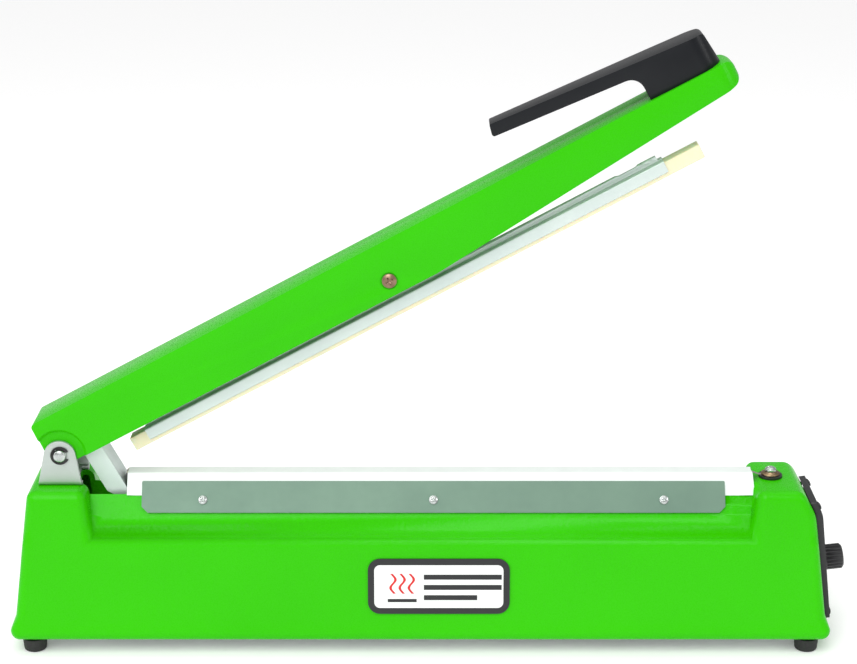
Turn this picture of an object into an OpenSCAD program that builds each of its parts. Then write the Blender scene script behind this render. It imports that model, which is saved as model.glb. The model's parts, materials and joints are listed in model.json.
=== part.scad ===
// Hand-operated impulse heat sealer with a cast base and a hinged sealing arm.
// +X runs from the hinge end to the control end, +Y to the back, +Z up.
// The origin is on the table, under the middle of the whole machine.

/* [Seal length and base] */
// Length of the silicone strip that presses the bag
seal_l = 410; // [300:1:520]
// From the hinge pin to the start of the silicone strip
seal_start = 46; // [44:0.5:56]
// From the end rim of the base to the hinge pin
pin_inset = 35.3; // [33:0.1:42]
// From the end of the silicone strip to the rim of the control end
end_margin = 50; // [46:0.5:70]
// Width of the base over its bottom rim
base_w = 84; // [78:0.5:104]
// Height of the two end decks above the table
deck_z = 111; // [106:0.5:140]
// Height of the shoulder between the end blocks
shoulder_z = 79; // [66:0.5:84]
// Thickness of the cast walls
wall = 3.5; // [2.8:0.1:4.2]
// Lean of the end walls from upright, degrees
end_lean = 6.7; // [3:0.1:8]
// Lean of the long walls from upright, degrees
side_lean = 6.1; // [3:0.1:7]
// Plan radius of the body's upright corners
corner_r = 8; // [6:0.5:10]
// Radius along the top edges of the end blocks
block_edge_r = 6; // [4:0.5:7]
// Radius along the shoulder
shoulder_r = 5; // [3:0.5:6]
// How far the rim bead stands out of the end walls
rim_end = 3.4; // [2:0.1:5]
// How far the rim bead stands out of the long walls
rim_side = 1.9; // [1:0.1:3]
// Height of the rim bead
rim_h = 16; // [12:0.5:20]
// Length of the deck that carries the heating terminal
control_deck_l = 38; // [36:0.5:50]

/* [Bottom] */
// Height of a rubber foot
foot_h = 8.8; // [7:0.1:14]
// Diameter of a rubber foot
foot_d = 16.4; // [14:0.1:20]
// Distance of a foot's centre from the end of the rim
foot_inset = 14.3; // [13.5:0.1:20]
// Thickness of the bottom sheet
floor_t = 1.2; // [1:0.1:2]

/* [Sealing edge] */
// Width of the top of the cast ridge
ridge_w = 17.4; // [16:0.2:21]
// Height of the ridge top above the table
ridge_z = 110.2; // [105:0.1:138]
// Lean of the ridge flanks from upright, degrees
ridge_lean = 29; // [24:0.5:31]
// Width of the heat-resistant rail
rail_w = 10; // [8:0.5:12]
// Height of the heat-resistant rail
rail_h = 5; // [4:0.1:7]
// Width of the heating element
element_w = 3; // [2:0.5:5]
// Thickness of the heating element, and of the glass tape under it
element_t = 0.2; // [0.15:0.05:0.4]
// Thickness of the non-stick sheet
sheet_t = 0.3; // [0.2:0.05:0.5]
// How far the non-stick sheet reaches down each flank of the ridge
sheet_drop = 9; // [6:0.5:14]
// Width of a press plate, measured down the flank
plate_w = 21; // [18:0.5:25]
// Thickness of a press plate
plate_t = 1.5; // [1:0.1:2]
// How far a press plate stops short of the non-stick sheet at each end
plate_short = 15; // [10:0.5:24]

/* [Hinge] */
// Diameter of the hinge pin
pin_d = 8; // [7:0.1:9.6]
// Height of the hinge pin above the end deck
pin_rise = 21.5; // [20:0.1:26]
// Thickness of the hinge bracket's sheet
bracket_t = 2.5; // [2:0.1:3]
// Length of the hinge bracket along the base
bracket_l = 28.8; // [27:0.1:32]
// Radial play of a shaft in its hole
run_play = 0.04; // [0.02:0.01:0.08]
// Angle by which the arm stands open, degrees
open_angle = 28.3; // [20:0.1:30]
// Gap between the strip and the non-stick sheet when the arm is down
shut_gap = 0.3; // [0.2:0.1:1]

/* [Arm] */
// Width of the arm
arm_w = 34; // [32:0.5:41]
// Height of the arm's top above the pin axis
arm_top = 26.5; // [25:0.5:32]
// Depth of the arm's bottom edge below the pin axis
arm_bottom = 8.2; // [7:0.1:9]
// Thickness of the arm's cast walls
arm_wall = 3; // [2.5:0.1:4]
// How far the nose reaches past the end of the silicone strip
nose_reach = 44; // [38:0.5:60]
// Height of the arm's nose
nose_h = 16; // [14:0.5:20]
// Radius of the hollow that takes each ear of the hinge bracket
ear_hollow_r = 15.5; // [15:0.1:19]
// Depth of that hollow
ear_hollow = 2; // [1.6:0.1:2.6]

/* [Press bar] */
// From the hinge pin to the rocking pivot
pivot_u = 246; // [180:1:300]
// Height of the rocking pivot above the pin axis
pivot_w = 2; // [0:0.1:4]
// Diameter of the pivot screw
pivot_d = 6; // [5:0.1:7.2]
// Depth of the strip's working face below the pin axis
strip_depth = 24; // [22:0.1:29]
// Width of the silicone strip
strip_w = 12; // [10:0.5:14]
// Height of the silicone strip
strip_h = 9.4; // [8:0.1:11]
// Depth of the channel that holds the strip
channel_h = 7.8; // [6:0.1:8.4]
// Sheet thickness of the press bar
bar_t = 1.2; // [1:0.1:1.6]

/* [Handle] */
// Length of the handle
handle_l = 147; // [130:1:175]
// Width of the handle at its free tip
handle_tip_w = 17.5; // [15:0.5:21]
// Width of the handle over its foot
handle_foot_w = 29; // [26:0.5:33]
// Length of the foot that stands on the arm
handle_foot_l = 49; // [42:0.5:60]
// Thickness of the grip
grip_t = 8.2; // [7:0.2:12]
// Clear height between the arm and the grip, at the foot
finger_gap = 17.2; // [16:0.2:24]
// Rise of the grip towards its tip, degrees
grip_rise = 4.5; // [0:0.1:6]

/* [Controls] */
// Height of the timer knob's axis where it meets the end wall
knob_z = 52; // [46:0.5:60]
// Diameter of the timer knob
knob_d = 16.9; // [15:0.1:20]
// Length of the timer knob
knob_l = 13.8; // [12:0.1:17]
// Width of the control panel
panel_w = 49; // [44:0.5:52]
// Height of the control panel, measured up the wall
panel_h = 84; // [76:0.5:88]
// Depth of the control panel
panel_t = 4.5; // [3.5:0.1:6]

/* [Hidden] */
$fn = 48;

// Colours
paint = [0.25, 0.84, 0.03];
dark = [0.07, 0.07, 0.08];
steel = [0.66, 0.68, 0.67];
plated = [0.8, 0.81, 0.8];
brass = [0.72, 0.58, 0.3];

// Base: lengths and heights that follow from the driving sizes
blend_fn = 32;
base_l = pin_inset + seal_start + seal_l + end_margin;
rim_z = foot_h + floor_t;
wall_z = rim_z + rim_h;
pin_x = pin_inset - base_l / 2;
pin_z = deck_z + pin_rise;
hinge_deck_in = pin_x + 17;
control_deck_in = wall_end(deck_z) - control_deck_l;
strip_end_x = pin_x + seal_start + seal_l;
foot_x = base_l / 2 - foot_inset;
foot_y = base_w / 2 - foot_inset + 1.8;
floor_gap = 3.5;
rail_z = ridge_z + rail_h;
seal_z = rail_z + 2 * element_t + sheet_t;

// Bracket under the arm that pulls on the return spring and works the switch
bracket_tab_u = 33;
bracket_web_u = 24.6;
bracket_back_u = 12;
bracket_w = 20;
bracket_drop = 52;
bracket_sheet = 1.8;

// Well in the ridge that the arm's spring bracket dips into
well_x0 = pin_x + 9.7;
well_x1 = pin_x + 44.7;
well_w = 25;
foot_room_z = ridge_z - 7.2;
rail_x0 = pin_x + 41;
rail_x1 = control_deck_in - 3.2;
sheet_x0 = rail_x0 + 0.9;
sheet_x1 = strip_end_x - 0.2;
terminal_x = control_deck_in + 12.8;
bush_neck_d = 7.6;
bush_flange_t = 1.6;

// Half the body's length and half its width at height z
function wall_end(z) = base_l / 2 - rim_end - (z - wall_z) * tan(end_lean);
function wall_side(z) = base_w / 2 - rim_side - (z - wall_z) * tan(side_lean);

// Arc that rounds the corner b of the path a-b-c with radius r
function unit(v) = v / norm(v);
function corner_arc(a, b, c, r, steps) =
  r <= 0 ? [b] :
  let (u = unit(a - b), v = unit(c - b), half = acos(u * v) / 2)
  let (centre = b + unit(u + v) * r / sin(half), p = b + u * r / tan(half), q = b + v * r / tan(half))
  let (a0 = atan2(p.y - centre.y, p.x - centre.x), a1 = atan2(q.y - centre.y, q.x - centre.x))
  let (turn = a1 - a0 > 180 ? a1 - a0 - 360 : a1 - a0 < -180 ? a1 - a0 + 360 : a1 - a0)
  [for (i = [0:steps]) centre + r * [cos(a0 + turn * i / steps), sin(a0 + turn * i / steps)]];

// Outline through points [x, y, corner radius]
function flat2(p) = [p[0], p[1]];
function rounded(pts, steps = 8) =
  let (n = len(pts))
  [for (i = [0:n - 1]) each corner_arc(flat2(pts[(i + n - 1) % n]), flat2(pts[i]),
                                        flat2(pts[(i + 1) % n]), pts[i][2], steps)];
function rounded_rect(x0, x1, y0, y1, r) =
  rounded([[x0, y0, r], [x1, y0, r], [x1, y1, r], [x0, y1, r]]);
function mirrored(pts) = concat(pts, [for (i = [len(pts) - 1:-1:0]) [-pts[i].x, pts[i].y]]);

// Extrusions of an upright outline: across the machine, and along it
module across(width) rotate([90, 0, 0]) linear_extrude(width, center = true) children();
module along(x0, x1) translate([x0, 0, 0]) rotate([90, 0, 90]) linear_extrude(x1 - x0) children();
module pin_across(d, width, x = 0, z = 0)
  translate([x, 0, z]) rotate([90, 0, 0]) cylinder(d = d, h = width, center = true);
module both_sides() for (side = [-1, 1]) scale_y(side) children();
module scale_y(side) if (side < 0) mirror([0, 1, 0]) children(); else children();

// Places: the whole machine, the open arm, the rocking bar and the leaning walls
knob_gap = 0.6;
knob_reach = wall_end(knob_z) + (panel_t + knob_gap + knob_l) * cos(end_lean) + knob_d / 2 * sin(end_lean);
middle_x = (knob_reach - base_l / 2) / 2;
module place() translate([-middle_x, 0, 0]) children();
module on_arm() translate([pin_x, 0, pin_z]) rotate([0, -open_angle, 0]) children();
module on_end_wall() translate([wall_end(knob_z), 0, knob_z]) rotate([0, 90 - end_lean, 0]) children();
// A long wall's outer face: local x along the machine, local y up the wall, local z outwards
module on_front_wall(x, z) translate([x, -wall_side(z), z]) rotate([90 - side_lean, 0, 0]) children();
module on_rear_wall(x, z) mirror([0, 1, 0]) on_front_wall(x, z) children();
// A ridge flank: local y up the flank from its top edge, local z outwards
module on_flank(x) translate([x, -ridge_w / 2, ridge_z]) rotate([90 - ridge_lean, 0, 0]) children();

// Pan-head screw: head above z = 0, shank below, with a cross recess
module pan_screw(head_d, head_h, d, l) {
  difference() {
    union() {
      translate([0, 0, head_h * 0.45]) scale_cap(head_d, head_h * 0.55);
      cylinder(d = head_d, h = head_h * 0.45 + 0.01);
    }
    for (turn = [0, 90]) rotate([0, 0, turn])
      translate([-head_d * 0.28, -head_d * 0.06, head_h * 0.5]) cube([head_d * 0.56, head_d * 0.12, head_h]);
  }
  translate([0, 0, -l]) cylinder(d = d, h = l + 0.01);
}
// Low dome of the given base diameter and height, cut from a sphere
module scale_cap(d, h) {
  r = (d * d / 4 + h * h) / (2 * h);
  intersection() {
    translate([0, 0, h - r]) sphere(r = r, $fn = 64);
    cylinder(d = d, h = h);
  }
}

// ---------------------------------------------------------------- base casting
// Solid block with leaning walls, upright corners and rounded top edges
module leaning_block(x0, x1, z0, z1, inset_low, inset_top, edge_r, round_r) {
  y0 = wall_side(z0) - inset_low;
  zc = z1 - edge_r;
  yc = wall_side(zc) - inset_top - edge_r / cos(side_lean);
  hull() {
    for (x = [x0[0] + round_r, x1[0] - round_r], side = [-1, 1])
      translate([x, side * (y0 - round_r), z0]) cylinder(r = round_r, h = 0.02, $fn = blend_fn);
    for (x = [x0[1] + edge_r, x1[1] - edge_r], side = [-1, 1])
      translate([x, side * yc, zc]) sphere(r = edge_r, $fn = blend_fn);
  }
}
// End positions of a block between heights z0 and z1: outer end follows the wall
function outer_end(z0, z1, inset) = [wall_end(z0) - inset, wall_end(z1) - inset];
flank_spread = 6;
block_z0 = shoulder_z - 16;

module rim() hull() {
  bead_r = 6;
  for (sx = [-1, 1], sy = [-1, 1]) {
    translate([sx * (base_l / 2 - bead_r), sy * (base_w / 2 - bead_r), rim_z + bead_r])
      sphere(r = bead_r, $fn = blend_fn);
    translate([sx * (wall_end(wall_z) - corner_r - 0.3), sy * (wall_side(wall_z) - corner_r - 0.3), wall_z + 1])
      cylinder(r = corner_r, h = 0.02, $fn = blend_fn);
  }
}

module end_blocks(inset, top, low) {
  ends = outer_end(low, top, inset);
  r = max(block_edge_r - inset, 2.5);
  inner_low = [hinge_deck_in + flank_spread - inset, control_deck_in - flank_spread + inset];
  inner_top = [hinge_deck_in - inset, control_deck_in + inset];
  leaning_block([-ends[0], -ends[1]], [inner_low[0], inner_top[0]], low, top, inset, inset, r, corner_r - inset);
  leaning_block([inner_low[1], inner_top[1]], ends, low, top, inset, inset, r, corner_r - inset);
}

function ridge_foot_y(z) = ridge_w / 2 + (ridge_z - z) * tan(ridge_lean);
ridge_toe = 2.2;
function ridge_outline() = mirrored(rounded([
  [0, shoulder_z - 8, 0], [-wall_side(shoulder_z) + shoulder_r, shoulder_z - 8, 0],
  [-wall_side(shoulder_z) + shoulder_r, shoulder_z, 0],
  [-ridge_foot_y(shoulder_z + ridge_toe), shoulder_z + ridge_toe, 7],
  [-ridge_w / 2, ridge_z, 1.2], [0, ridge_z, 0]]));
function ridge_bore() = let (half = ridge_w / 2 - wall)
  mirrored([[-half, ridge_z - wall - 0.5],
            [-half - (ridge_z - shoulder_z) * tan(ridge_lean), shoulder_z - wall - 1]]);

boss_h = 24;
// The long walls thicken towards the rim, where the bottom sheet is seated
rim_ledge = 3;
function side_wall_at(z) = wall + rim_ledge * (shoulder_z - wall - z) / (shoulder_z - wall - rim_z);
module base_housing() color(paint) {
  body_ends = outer_end(wall_z - 6, shoulder_z, 0);
  room_ends = outer_end(wall_z, shoulder_z - wall, wall + 0.4);
  difference() {
    union() {
      difference() {
        union() {
          rim();
          leaning_block([-body_ends[0], -body_ends[1]], body_ends, wall_z - 6, shoulder_z, 0, 0, shoulder_r, corner_r);
          end_blocks(0, deck_z, block_z0);
          along(hinge_deck_in - 4, control_deck_in + 4) polygon(ridge_outline());
        }
        leaning_block([-room_ends[0], -room_ends[1]], room_ends, rim_z - 1, shoulder_z - wall,
                      wall + rim_ledge, wall, 3, 5);
        end_blocks(wall, deck_z - wall, block_z0 - 8);
        along(hinge_deck_in - 8, control_deck_in + 8) polygon(ridge_bore());
      }
      corner_bosses();
      spring_post();
    }
    // well for the spring bracket
    translate([0, 0, shoulder_z - 12]) linear_extrude(deck_z)
      polygon(rounded_rect(well_x0, well_x1, -well_w / 2, well_w / 2, 3));
    // room below the ridge's end for the bracket's foot
    translate([well_x1 - 1, -bracket_w / 2 - 1, shoulder_z - 12]) cube([6, bracket_w + 2, foot_room_z - shoulder_z + 12]);
    // flat seat for the control panel
    on_end_wall() linear_extrude(20)
      polygon(rounded_rect(panel_top - 0.2, panel_top + panel_h + 0.2, -panel_w / 2 - 0.2, panel_w / 2 + 0.2, 2.2));
    // window behind the control panel
    on_end_wall() translate([-panel_h * 0.44, -panel_w / 2 + 6, -wall * 3]) cube([panel_h * 0.8, panel_w - 12, wall * 5]);
    // holes
    for (sx = [-1, 1], sy = [-1, 1]) translate([sx * foot_x, sy * foot_y, rim_z - 1]) cylinder(d = screw_bore, h = 18);
    translate([terminal_x, 0, deck_z - 2 * wall]) cylinder(d = bush_neck_d + 0.1, h = 3 * wall);
    for (sy = [-1, 1]) translate([bracket_screw_x, sy * bracket_screw_y, deck_z - 2 * wall])
      cylinder(d = screw_bore, h = 3 * wall);
    on_rear_wall(grommet_x, grommet_z) translate([0, 0, -3 * wall]) cylinder(d = grommet_neck_d + 0.1, h = 5 * wall);
    for (x = rail_screw_x) translate([x, 0, ridge_z - 2 * wall]) cylinder(d = 3.2, h = 3 * wall);
    for (x = plate_screw_x) both_sides() on_flank(x) translate([0, -plate_screw_drop, -3 * wall])
      cylinder(d = 2.5, h = 4 * wall);
    for (x = panel_hole_x, y = [-panel_screw_y, panel_screw_y]) on_end_wall()
      translate([x, y, -4 * wall]) cylinder(d = 2.5, h = 5 * wall);
  }
}
module corner_bosses() for (sx = [-1, 1], sy = [-1, 1])
  translate([sx * foot_x, sy * foot_y, rim_z]) cylinder(r = foot_d / 2 - 0.7, h = boss_h);
// Cast lug under the ridge that carries the spring anchor
module spring_post() translate([anchor_x, -6, anchor_z + 2]) cube([8, 12, ridge_z - anchor_z - 2 - wall / 2]);

screw_bore = 3.3;
module bottom_plate() color(steel) difference() {
  x = base_l / 2 - 5.5;
  y = base_w / 2 - floor_gap - 0.5;
  translate([0, 0, foot_h]) linear_extrude(floor_t) polygon(rounded_rect(-x, x, -y, y, corner_r));
  for (sx = [-1, 1], sy = [-1, 1]) translate([sx * foot_x, sy * foot_y, foot_h - 1]) cylinder(d = 4.2, h = floor_t + 2);
  for (sx = [-1, 1], sy = [-1, 1])
    translate([core_x + sx * frame_hole_x, sy * frame_hole_y, foot_h - 1]) cylinder(d = screw_bore, h = floor_t + 2);
  // ventilation slots under the transformer and under the board
  for (centre = [core_x - 90, core_x + 90], i = [-4:4]) translate([centre + i * 9, 0, foot_h - 1])
    linear_extrude(floor_t + 2) polygon(rounded_rect(-1.6, 1.6, -14, 14, 1.5));
}

module foot(sx, sy) color(dark) translate([sx * foot_x, sy * foot_y, 0]) difference() {
  r = foot_d / 2;
  rotate_extrude() polygon(concat([[0, foot_h], [0, 0]],
    corner_arc([0, 0], [r - 0.9, 0], [r, foot_h], 1.8, 6), [[r, foot_h]]));
  translate([0, 0, -1]) cylinder(d = 4.2, h = foot_h + 2);
  translate([0, 0, -1]) cylinder(d = foot_sink_d, h = foot_sink_h + 1);
}
foot_sink_d = 8.6;
foot_sink_h = 4.4;
module foot_front_left() foot(-1, -1);
module foot_front_right() foot(1, -1);
module foot_rear_left() foot(-1, 1);
module foot_rear_right() foot(1, 1);
module foot_screws() color(plated) for (sx = [-1, 1], sy = [-1, 1])
  translate([sx * foot_x, sy * foot_y, foot_sink_h]) rotate([180, 0, 0]) pan_screw(7.4, 2.6, 3.2, 16);

// ---------------------------------------------------------------- hinge
ear_gap = 0.3;
ear_in = arm_w / 2 - ear_hollow + ear_gap;
ear_out = ear_in + bracket_t;
ear_top_w = 17.4;
bracket_screw_x = pin_x - 8;
bracket_screw_y = 9;
function ear_outline() = rounded([
  [-bracket_l / 2 - 1, deck_z, 0], [bracket_l / 2 - 1, deck_z, 0],
  [ear_top_w / 2, pin_z + 9.6, 10.2], [-ear_top_w / 2, pin_z + 9.6, 10.2]], 14);
function bracket_section() = concat(
  rounded([[-ear_out, pin_z + 20, 0], [-ear_out, deck_z, 3.4], [ear_out, deck_z, 3.4], [ear_out, pin_z + 20, 0],
           [ear_in, pin_z + 20, 0], [ear_in, deck_z + bracket_t, 0.9], [-ear_in, deck_z + bracket_t, 0.9],
           [-ear_in, pin_z + 20, 0]]));
module hinge_bracket() color(steel) difference() {
  intersection() {
    translate([pin_x, 0, 0]) across(base_w) polygon(ear_outline());
    along(pin_x - bracket_l, pin_x + bracket_l) polygon(bracket_section());
  }
  pin_across(pin_d + 2 * run_play, base_w, pin_x, pin_z);
  for (sy = [-1, 1]) translate([bracket_screw_x, sy * bracket_screw_y, deck_z - 1]) cylinder(d = 4.3, h = 6);
  translate([well_x0 - 1, -well_w / 2, deck_z - 1]) cube([bracket_l, well_w, bracket_t + 2]);
}
module hinge_bracket_screws() color(plated) for (sy = [-1, 1])
  translate([bracket_screw_x, sy * bracket_screw_y, deck_z + bracket_t]) pan_screw(7, 2.4, 3.2, 12);

clip_t = 1;
clip_d = 12.2;
clip_y = ear_out + 0.15;
groove_d = pin_d - 1.8;
pin_end = clip_y + clip_t + 1.5;
module hinge_pin() color(plated) translate([pin_x, 0, pin_z]) rotate([90, 0, 0]) rotate_extrude()
  polygon([[0, -pin_end], [pin_d / 2 - 0.5, -pin_end], [pin_d / 2, -pin_end + 0.5],
           [pin_d / 2, -clip_y - clip_t], [groove_d / 2, -clip_y - clip_t], [groove_d / 2, -clip_y],
           [pin_d / 2, -clip_y], [pin_d / 2, clip_y], [groove_d / 2, clip_y],
           [groove_d / 2, clip_y + clip_t], [pin_d / 2, clip_y + clip_t], [pin_d / 2, pin_end - 0.5],
           [pin_d / 2 - 0.5, pin_end], [0, pin_end]]);
// Open retaining ring: an outer ring with three inward lugs
module hinge_clips() color(dark) both_sides() translate([pin_x, -clip_y, pin_z]) rotate([90, 0, 0])
  difference() {
    cylinder(d = clip_d, h = clip_t);
    translate([0, 0, -1]) cylinder(d = groove_d + 0.1, h = clip_t + 2);
    translate([0, -groove_d * 0.42, -1]) cube([clip_d, groove_d * 0.84, clip_t + 2]);
    for (turn = [125, -125]) rotate([0, 0, turn]) translate([groove_d * 0.62, 0, -1]) cylinder(d = 2.2, h = clip_t + 2);
  }

// ---------------------------------------------------------------- sealing edge
rail_screw_x = [for (t = [0.1, 0.5, 0.9]) rail_x0 + t * (rail_x1 - rail_x0)];
module seal_rail() color(dark) difference() {
  translate([rail_x0, -rail_w / 2, ridge_z]) cube([rail_x1 - rail_x0, rail_w, rail_h]);
  for (x = rail_screw_x) {
    translate([x, 0, ridge_z - 1]) cylinder(d = 3.4, h = rail_h + 2);
    translate([x, 0, rail_z - 2.2]) cylinder(d = 6.4, h = 4);
  }
}
module rail_screws() color(steel) for (x = rail_screw_x)
  translate([x, 0, rail_z - 2.2]) pan_screw(6, 2, 3, 8);
module glass_tape() color([0.86, 0.84, 0.76])
  translate([rail_x0, -rail_w / 2 + 0.5, rail_z]) cube([rail_x1 - rail_x0, rail_w - 1, element_t]);

// The element lies on the tape, drops over the rail's hinge end and under the ridge top,
// and runs down to the terminal at the control end
tail_y = ridge_z - wall - 0.5;
tail_x = well_x1 + 24;
function ribbon(path, t) = concat(path, [for (i = [len(path) - 1:-1:0]) path[i] + t * ribbon_normal(path, i)]);
function ribbon_normal(path, i) =
  let (a = path[max(i - 1, 0)], b = path[i], c = path[min(i + 1, len(path) - 1)])
  let (u = norm(b - a) > 0 ? unit(b - a) : unit(c - b), v = norm(c - b) > 0 ? unit(c - b) : u)
  let (m = unit(u + v)) [-m.y, m.x] / (m * u);
element_path = [
  [tail_x + 5, tail_y - element_t - 0.05], [well_x1 - 0.25, tail_y - element_t - 0.05],
  [well_x1 - 0.25, ridge_z - element_t - 0.05], [rail_x0 - 0.05, ridge_z - element_t - 0.05],
  [rail_x0 - 0.05, rail_z + element_t], [rail_x1 + 1, rail_z + element_t],
  [terminal_x - 8, deck_z + bush_flange_t + 0.1], [terminal_x + 4, deck_z + bush_flange_t + 0.1]];
module heating_element() color([0.78, 0.78, 0.74]) difference() {
  union() {
    across(element_w) polygon(ribbon(element_path, element_t));
    translate([terminal_x, 0, deck_z + bush_flange_t + 0.1]) cylinder(d = 9, h = element_t);
  }
  translate([terminal_x, 0, deck_z]) cylinder(d = 4.3, h = 6);
}

sheet_play = 0.08;
function sheet_path() = let (s = sin(ridge_lean), c = cos(ridge_lean))
  let (top = rail_z + 2 * element_t, y0 = ridge_w / 2 + sheet_play / c)
  mirrored([[-y0 - sheet_drop * s, ridge_z - sheet_drop * c], [-y0 - 0.2, ridge_z - 0.2],
            [-rail_w / 2 - 0.2, rail_z + 0.1], [-rail_w / 2 + 1, top]]);
module nonstick_sheet() color([0.93, 0.95, 0.92]) difference() {
  along(sheet_x0, sheet_x1) polygon(ribbon(sheet_path(), sheet_t));
  both_sides() translate([control_deck_in - flank_spread - 1.5, -base_w / 2, 0])
    cube([60, (base_w - rail_w) / 2 - 0.6, rail_z - 2]);
}

plate_x0 = sheet_x0 + plate_short - 5;
plate_x1 = sheet_x1 - plate_short - 5;
plate_screw_drop = 12;
plate_screw_x = [for (t = [0.105, 0.5, 0.895]) plate_x0 + t * (plate_x1 - plate_x0)];
plate_lift = sheet_play + sheet_t + 0.1;
plate_rise = 0.6;
module press_plate() difference() {
  c = 4;
  on_flank(0) translate([0, 0, plate_lift]) linear_extrude(plate_t) polygon(rounded([
    [plate_x0, plate_rise, 0.8], [plate_x0, plate_rise - plate_w + c, 1],
    [plate_x0 + c, plate_rise - plate_w, 1], [plate_x1 - c, plate_rise - plate_w, 1],
    [plate_x1, plate_rise - plate_w + c, 1], [plate_x1, plate_rise, 0.8]], 4));
  for (x = plate_screw_x) on_flank(x) translate([0, -plate_screw_drop, 0]) cylinder(d = 3.4, h = 6);
}
module press_plate_front() color(steel) press_plate();
module press_plate_rear() color(steel) mirror([0, 1, 0]) press_plate();
module press_plate_screws() color(plated) for (x = plate_screw_x) both_sides()
  on_flank(x) translate([0, -plate_screw_drop, plate_lift + plate_t]) pan_screw(5.7, 1.9, 2.4, 7);

// ---------------------------------------------------------------- terminals
module terminal_bush() color(dark) translate([terminal_x, 0, deck_z]) difference() {
  union() {
    cylinder(d = 15.6, h = bush_flange_t);
    translate([0, 0, -wall - 1.5]) cylinder(d = bush_neck_d, h = wall + 2);
  }
  translate([0, 0, -2 * wall]) cylinder(d = 4.2, h = 4 * wall);
}
washer_z = deck_z + bush_flange_t + element_t + 0.2;
module terminal_washer() color(brass) translate([terminal_x, 0, washer_z]) difference() {
  union() {
    cylinder(d = 12.4, h = 0.9);
    cylinder(d = 9, h = 1.8);
  }
  translate([0, 0, -1]) cylinder(d = 4.2, h = 5);
}
module terminal_screw() color(plated) translate([terminal_x, 0, washer_z + 1.8]) pan_screw(7.6, 3.4, 4, 18);
module terminal_nut() color(brass) translate([terminal_x, 0, deck_z - wall - 5.4]) difference() {
  union() {
    cylinder(d = 8, h = 3.2, $fn = 6);
    translate([0, 0, 3.2]) cylinder(d = 9, h = 0.7);
  }
  translate([0, 0, -1]) cylinder(d = 4.04, h = 6);
}

module tail_block() color([0.45, 0.3, 0.18]) difference() {
  translate([tail_x - 6, -4.5, tail_y - 2 * element_t - 6.1]) cube([13, 9, 6]);
  translate([tail_x, 0, tail_y - 9]) cylinder(d = 3.1, h = 12);
}
module tail_screw() color(plated) translate([tail_x, 0, tail_y - 2 * element_t - 6.1]) rotate([180, 0, 0])
  pan_screw(5.6, 2, 3, 5.9);

// ---------------------------------------------------------------- control end
panel_screw_y = panel_w / 2 - 4;
panel_top = -(panel_h - 39);
panel_face = 1.8;
module control_panel() color(dark) on_end_wall() difference() {
  linear_extrude(panel_t) polygon(rounded_rect(panel_top, panel_top + panel_h, -panel_w / 2, panel_w / 2, 2));
  translate([panel_top + 7, -panel_w / 2 + 7, -1])
    cube([panel_h - 14, panel_w - 14, panel_t - panel_face + 1]);
  translate([0, 0, -1]) cylinder(d = pot_bush_d + 0.1, h = panel_t + 2);
  for (y = [-lamp_y, lamp_y]) translate([lamp_x, y, -1]) cylinder(d = lamp_d + 0.1, h = panel_t + 2);
  for (x = panel_hole_x, y = [-panel_screw_y, panel_screw_y]) translate([x, y, -1]) cylinder(d = 3.2, h = panel_t + 2);
}
panel_hole_x = [panel_top + 4, panel_top + panel_h - 4];
module panel_screws() color(dark) for (x = panel_hole_x, y = [-panel_screw_y, panel_screw_y])
  on_end_wall() translate([x, y, panel_t]) pan_screw(5, 1.4, 2.4, panel_t + wall + 1);
lamp_d = 5;
lamp_x = -28;
lamp_y = 9;
module lamp(y) on_end_wall() translate([lamp_x, y, 0]) {
  translate([0, 0, -3]) cylinder(d = lamp_d, h = panel_t + 3.3);
  translate([0, 0, panel_t + 0.3]) scale_cap(lamp_d, 1);
  translate([0, 0, -4]) cylinder(d = lamp_d + 1, h = 1 + panel_t - panel_face + 3 - 0.05);
}
module power_lamp() color([0.1, 0.7, 0.2]) lamp(-lamp_y);
module sealing_lamp() color([0.85, 0.08, 0.05]) lamp(lamp_y);

pot_bush_d = 7;
pot_shaft_d = 6;
module timer_potentiometer() color(steel) on_end_wall() {
  translate([0, 0, panel_t - panel_face - 10]) cylinder(d = 16.5, h = 10);
  translate([0, 0, panel_t - panel_face - 0.1]) cylinder(d = pot_bush_d, h = panel_face + 2.6);
  cylinder(d = pot_shaft_d, h = panel_t + knob_gap + knob_l - 4);
  for (i = [-1:1]) translate([8, i * 5 - 1, panel_t - panel_face - 7]) cube([7, 2, 0.8]);
}
module potentiometer_nut() color(plated) on_end_wall() translate([0, 0, panel_t]) difference() {
  cylinder(d = 11, h = 2, $fn = 6);
  translate([0, 0, -1]) cylinder(d = pot_bush_d + 0.04, h = 4);
}
// Fluted knob with a chamfered rim and an index groove, hollow underneath
module timer_knob() color(dark) on_end_wall() translate([0, 0, panel_t + knob_gap]) difference() {
  flutes = 20;
  union() {
    cylinder(d = knob_d, h = knob_l - 1.4);
    translate([0, 0, knob_l - 1.4]) cylinder(d1 = knob_d, d2 = knob_d - 3, h = 1.4);
  }
  for (i = [0:flutes - 1]) rotate([0, 0, i * 360 / flutes]) translate([knob_d / 2 + 0.35, 0, 2.6])
    cylinder(d = 1.9, h = knob_l, $fn = 16);
  translate([0, 0, -1]) cylinder(d = 12.4, h = 4);
  translate([0, 0, -1]) cylinder(d = pot_shaft_d + 2 * run_play, h = knob_l - 2.8);
  translate([-knob_d / 2 - 1, -0.5, knob_l - 0.7]) cube([knob_d / 2 - 1, 1, 2]);
}

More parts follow.
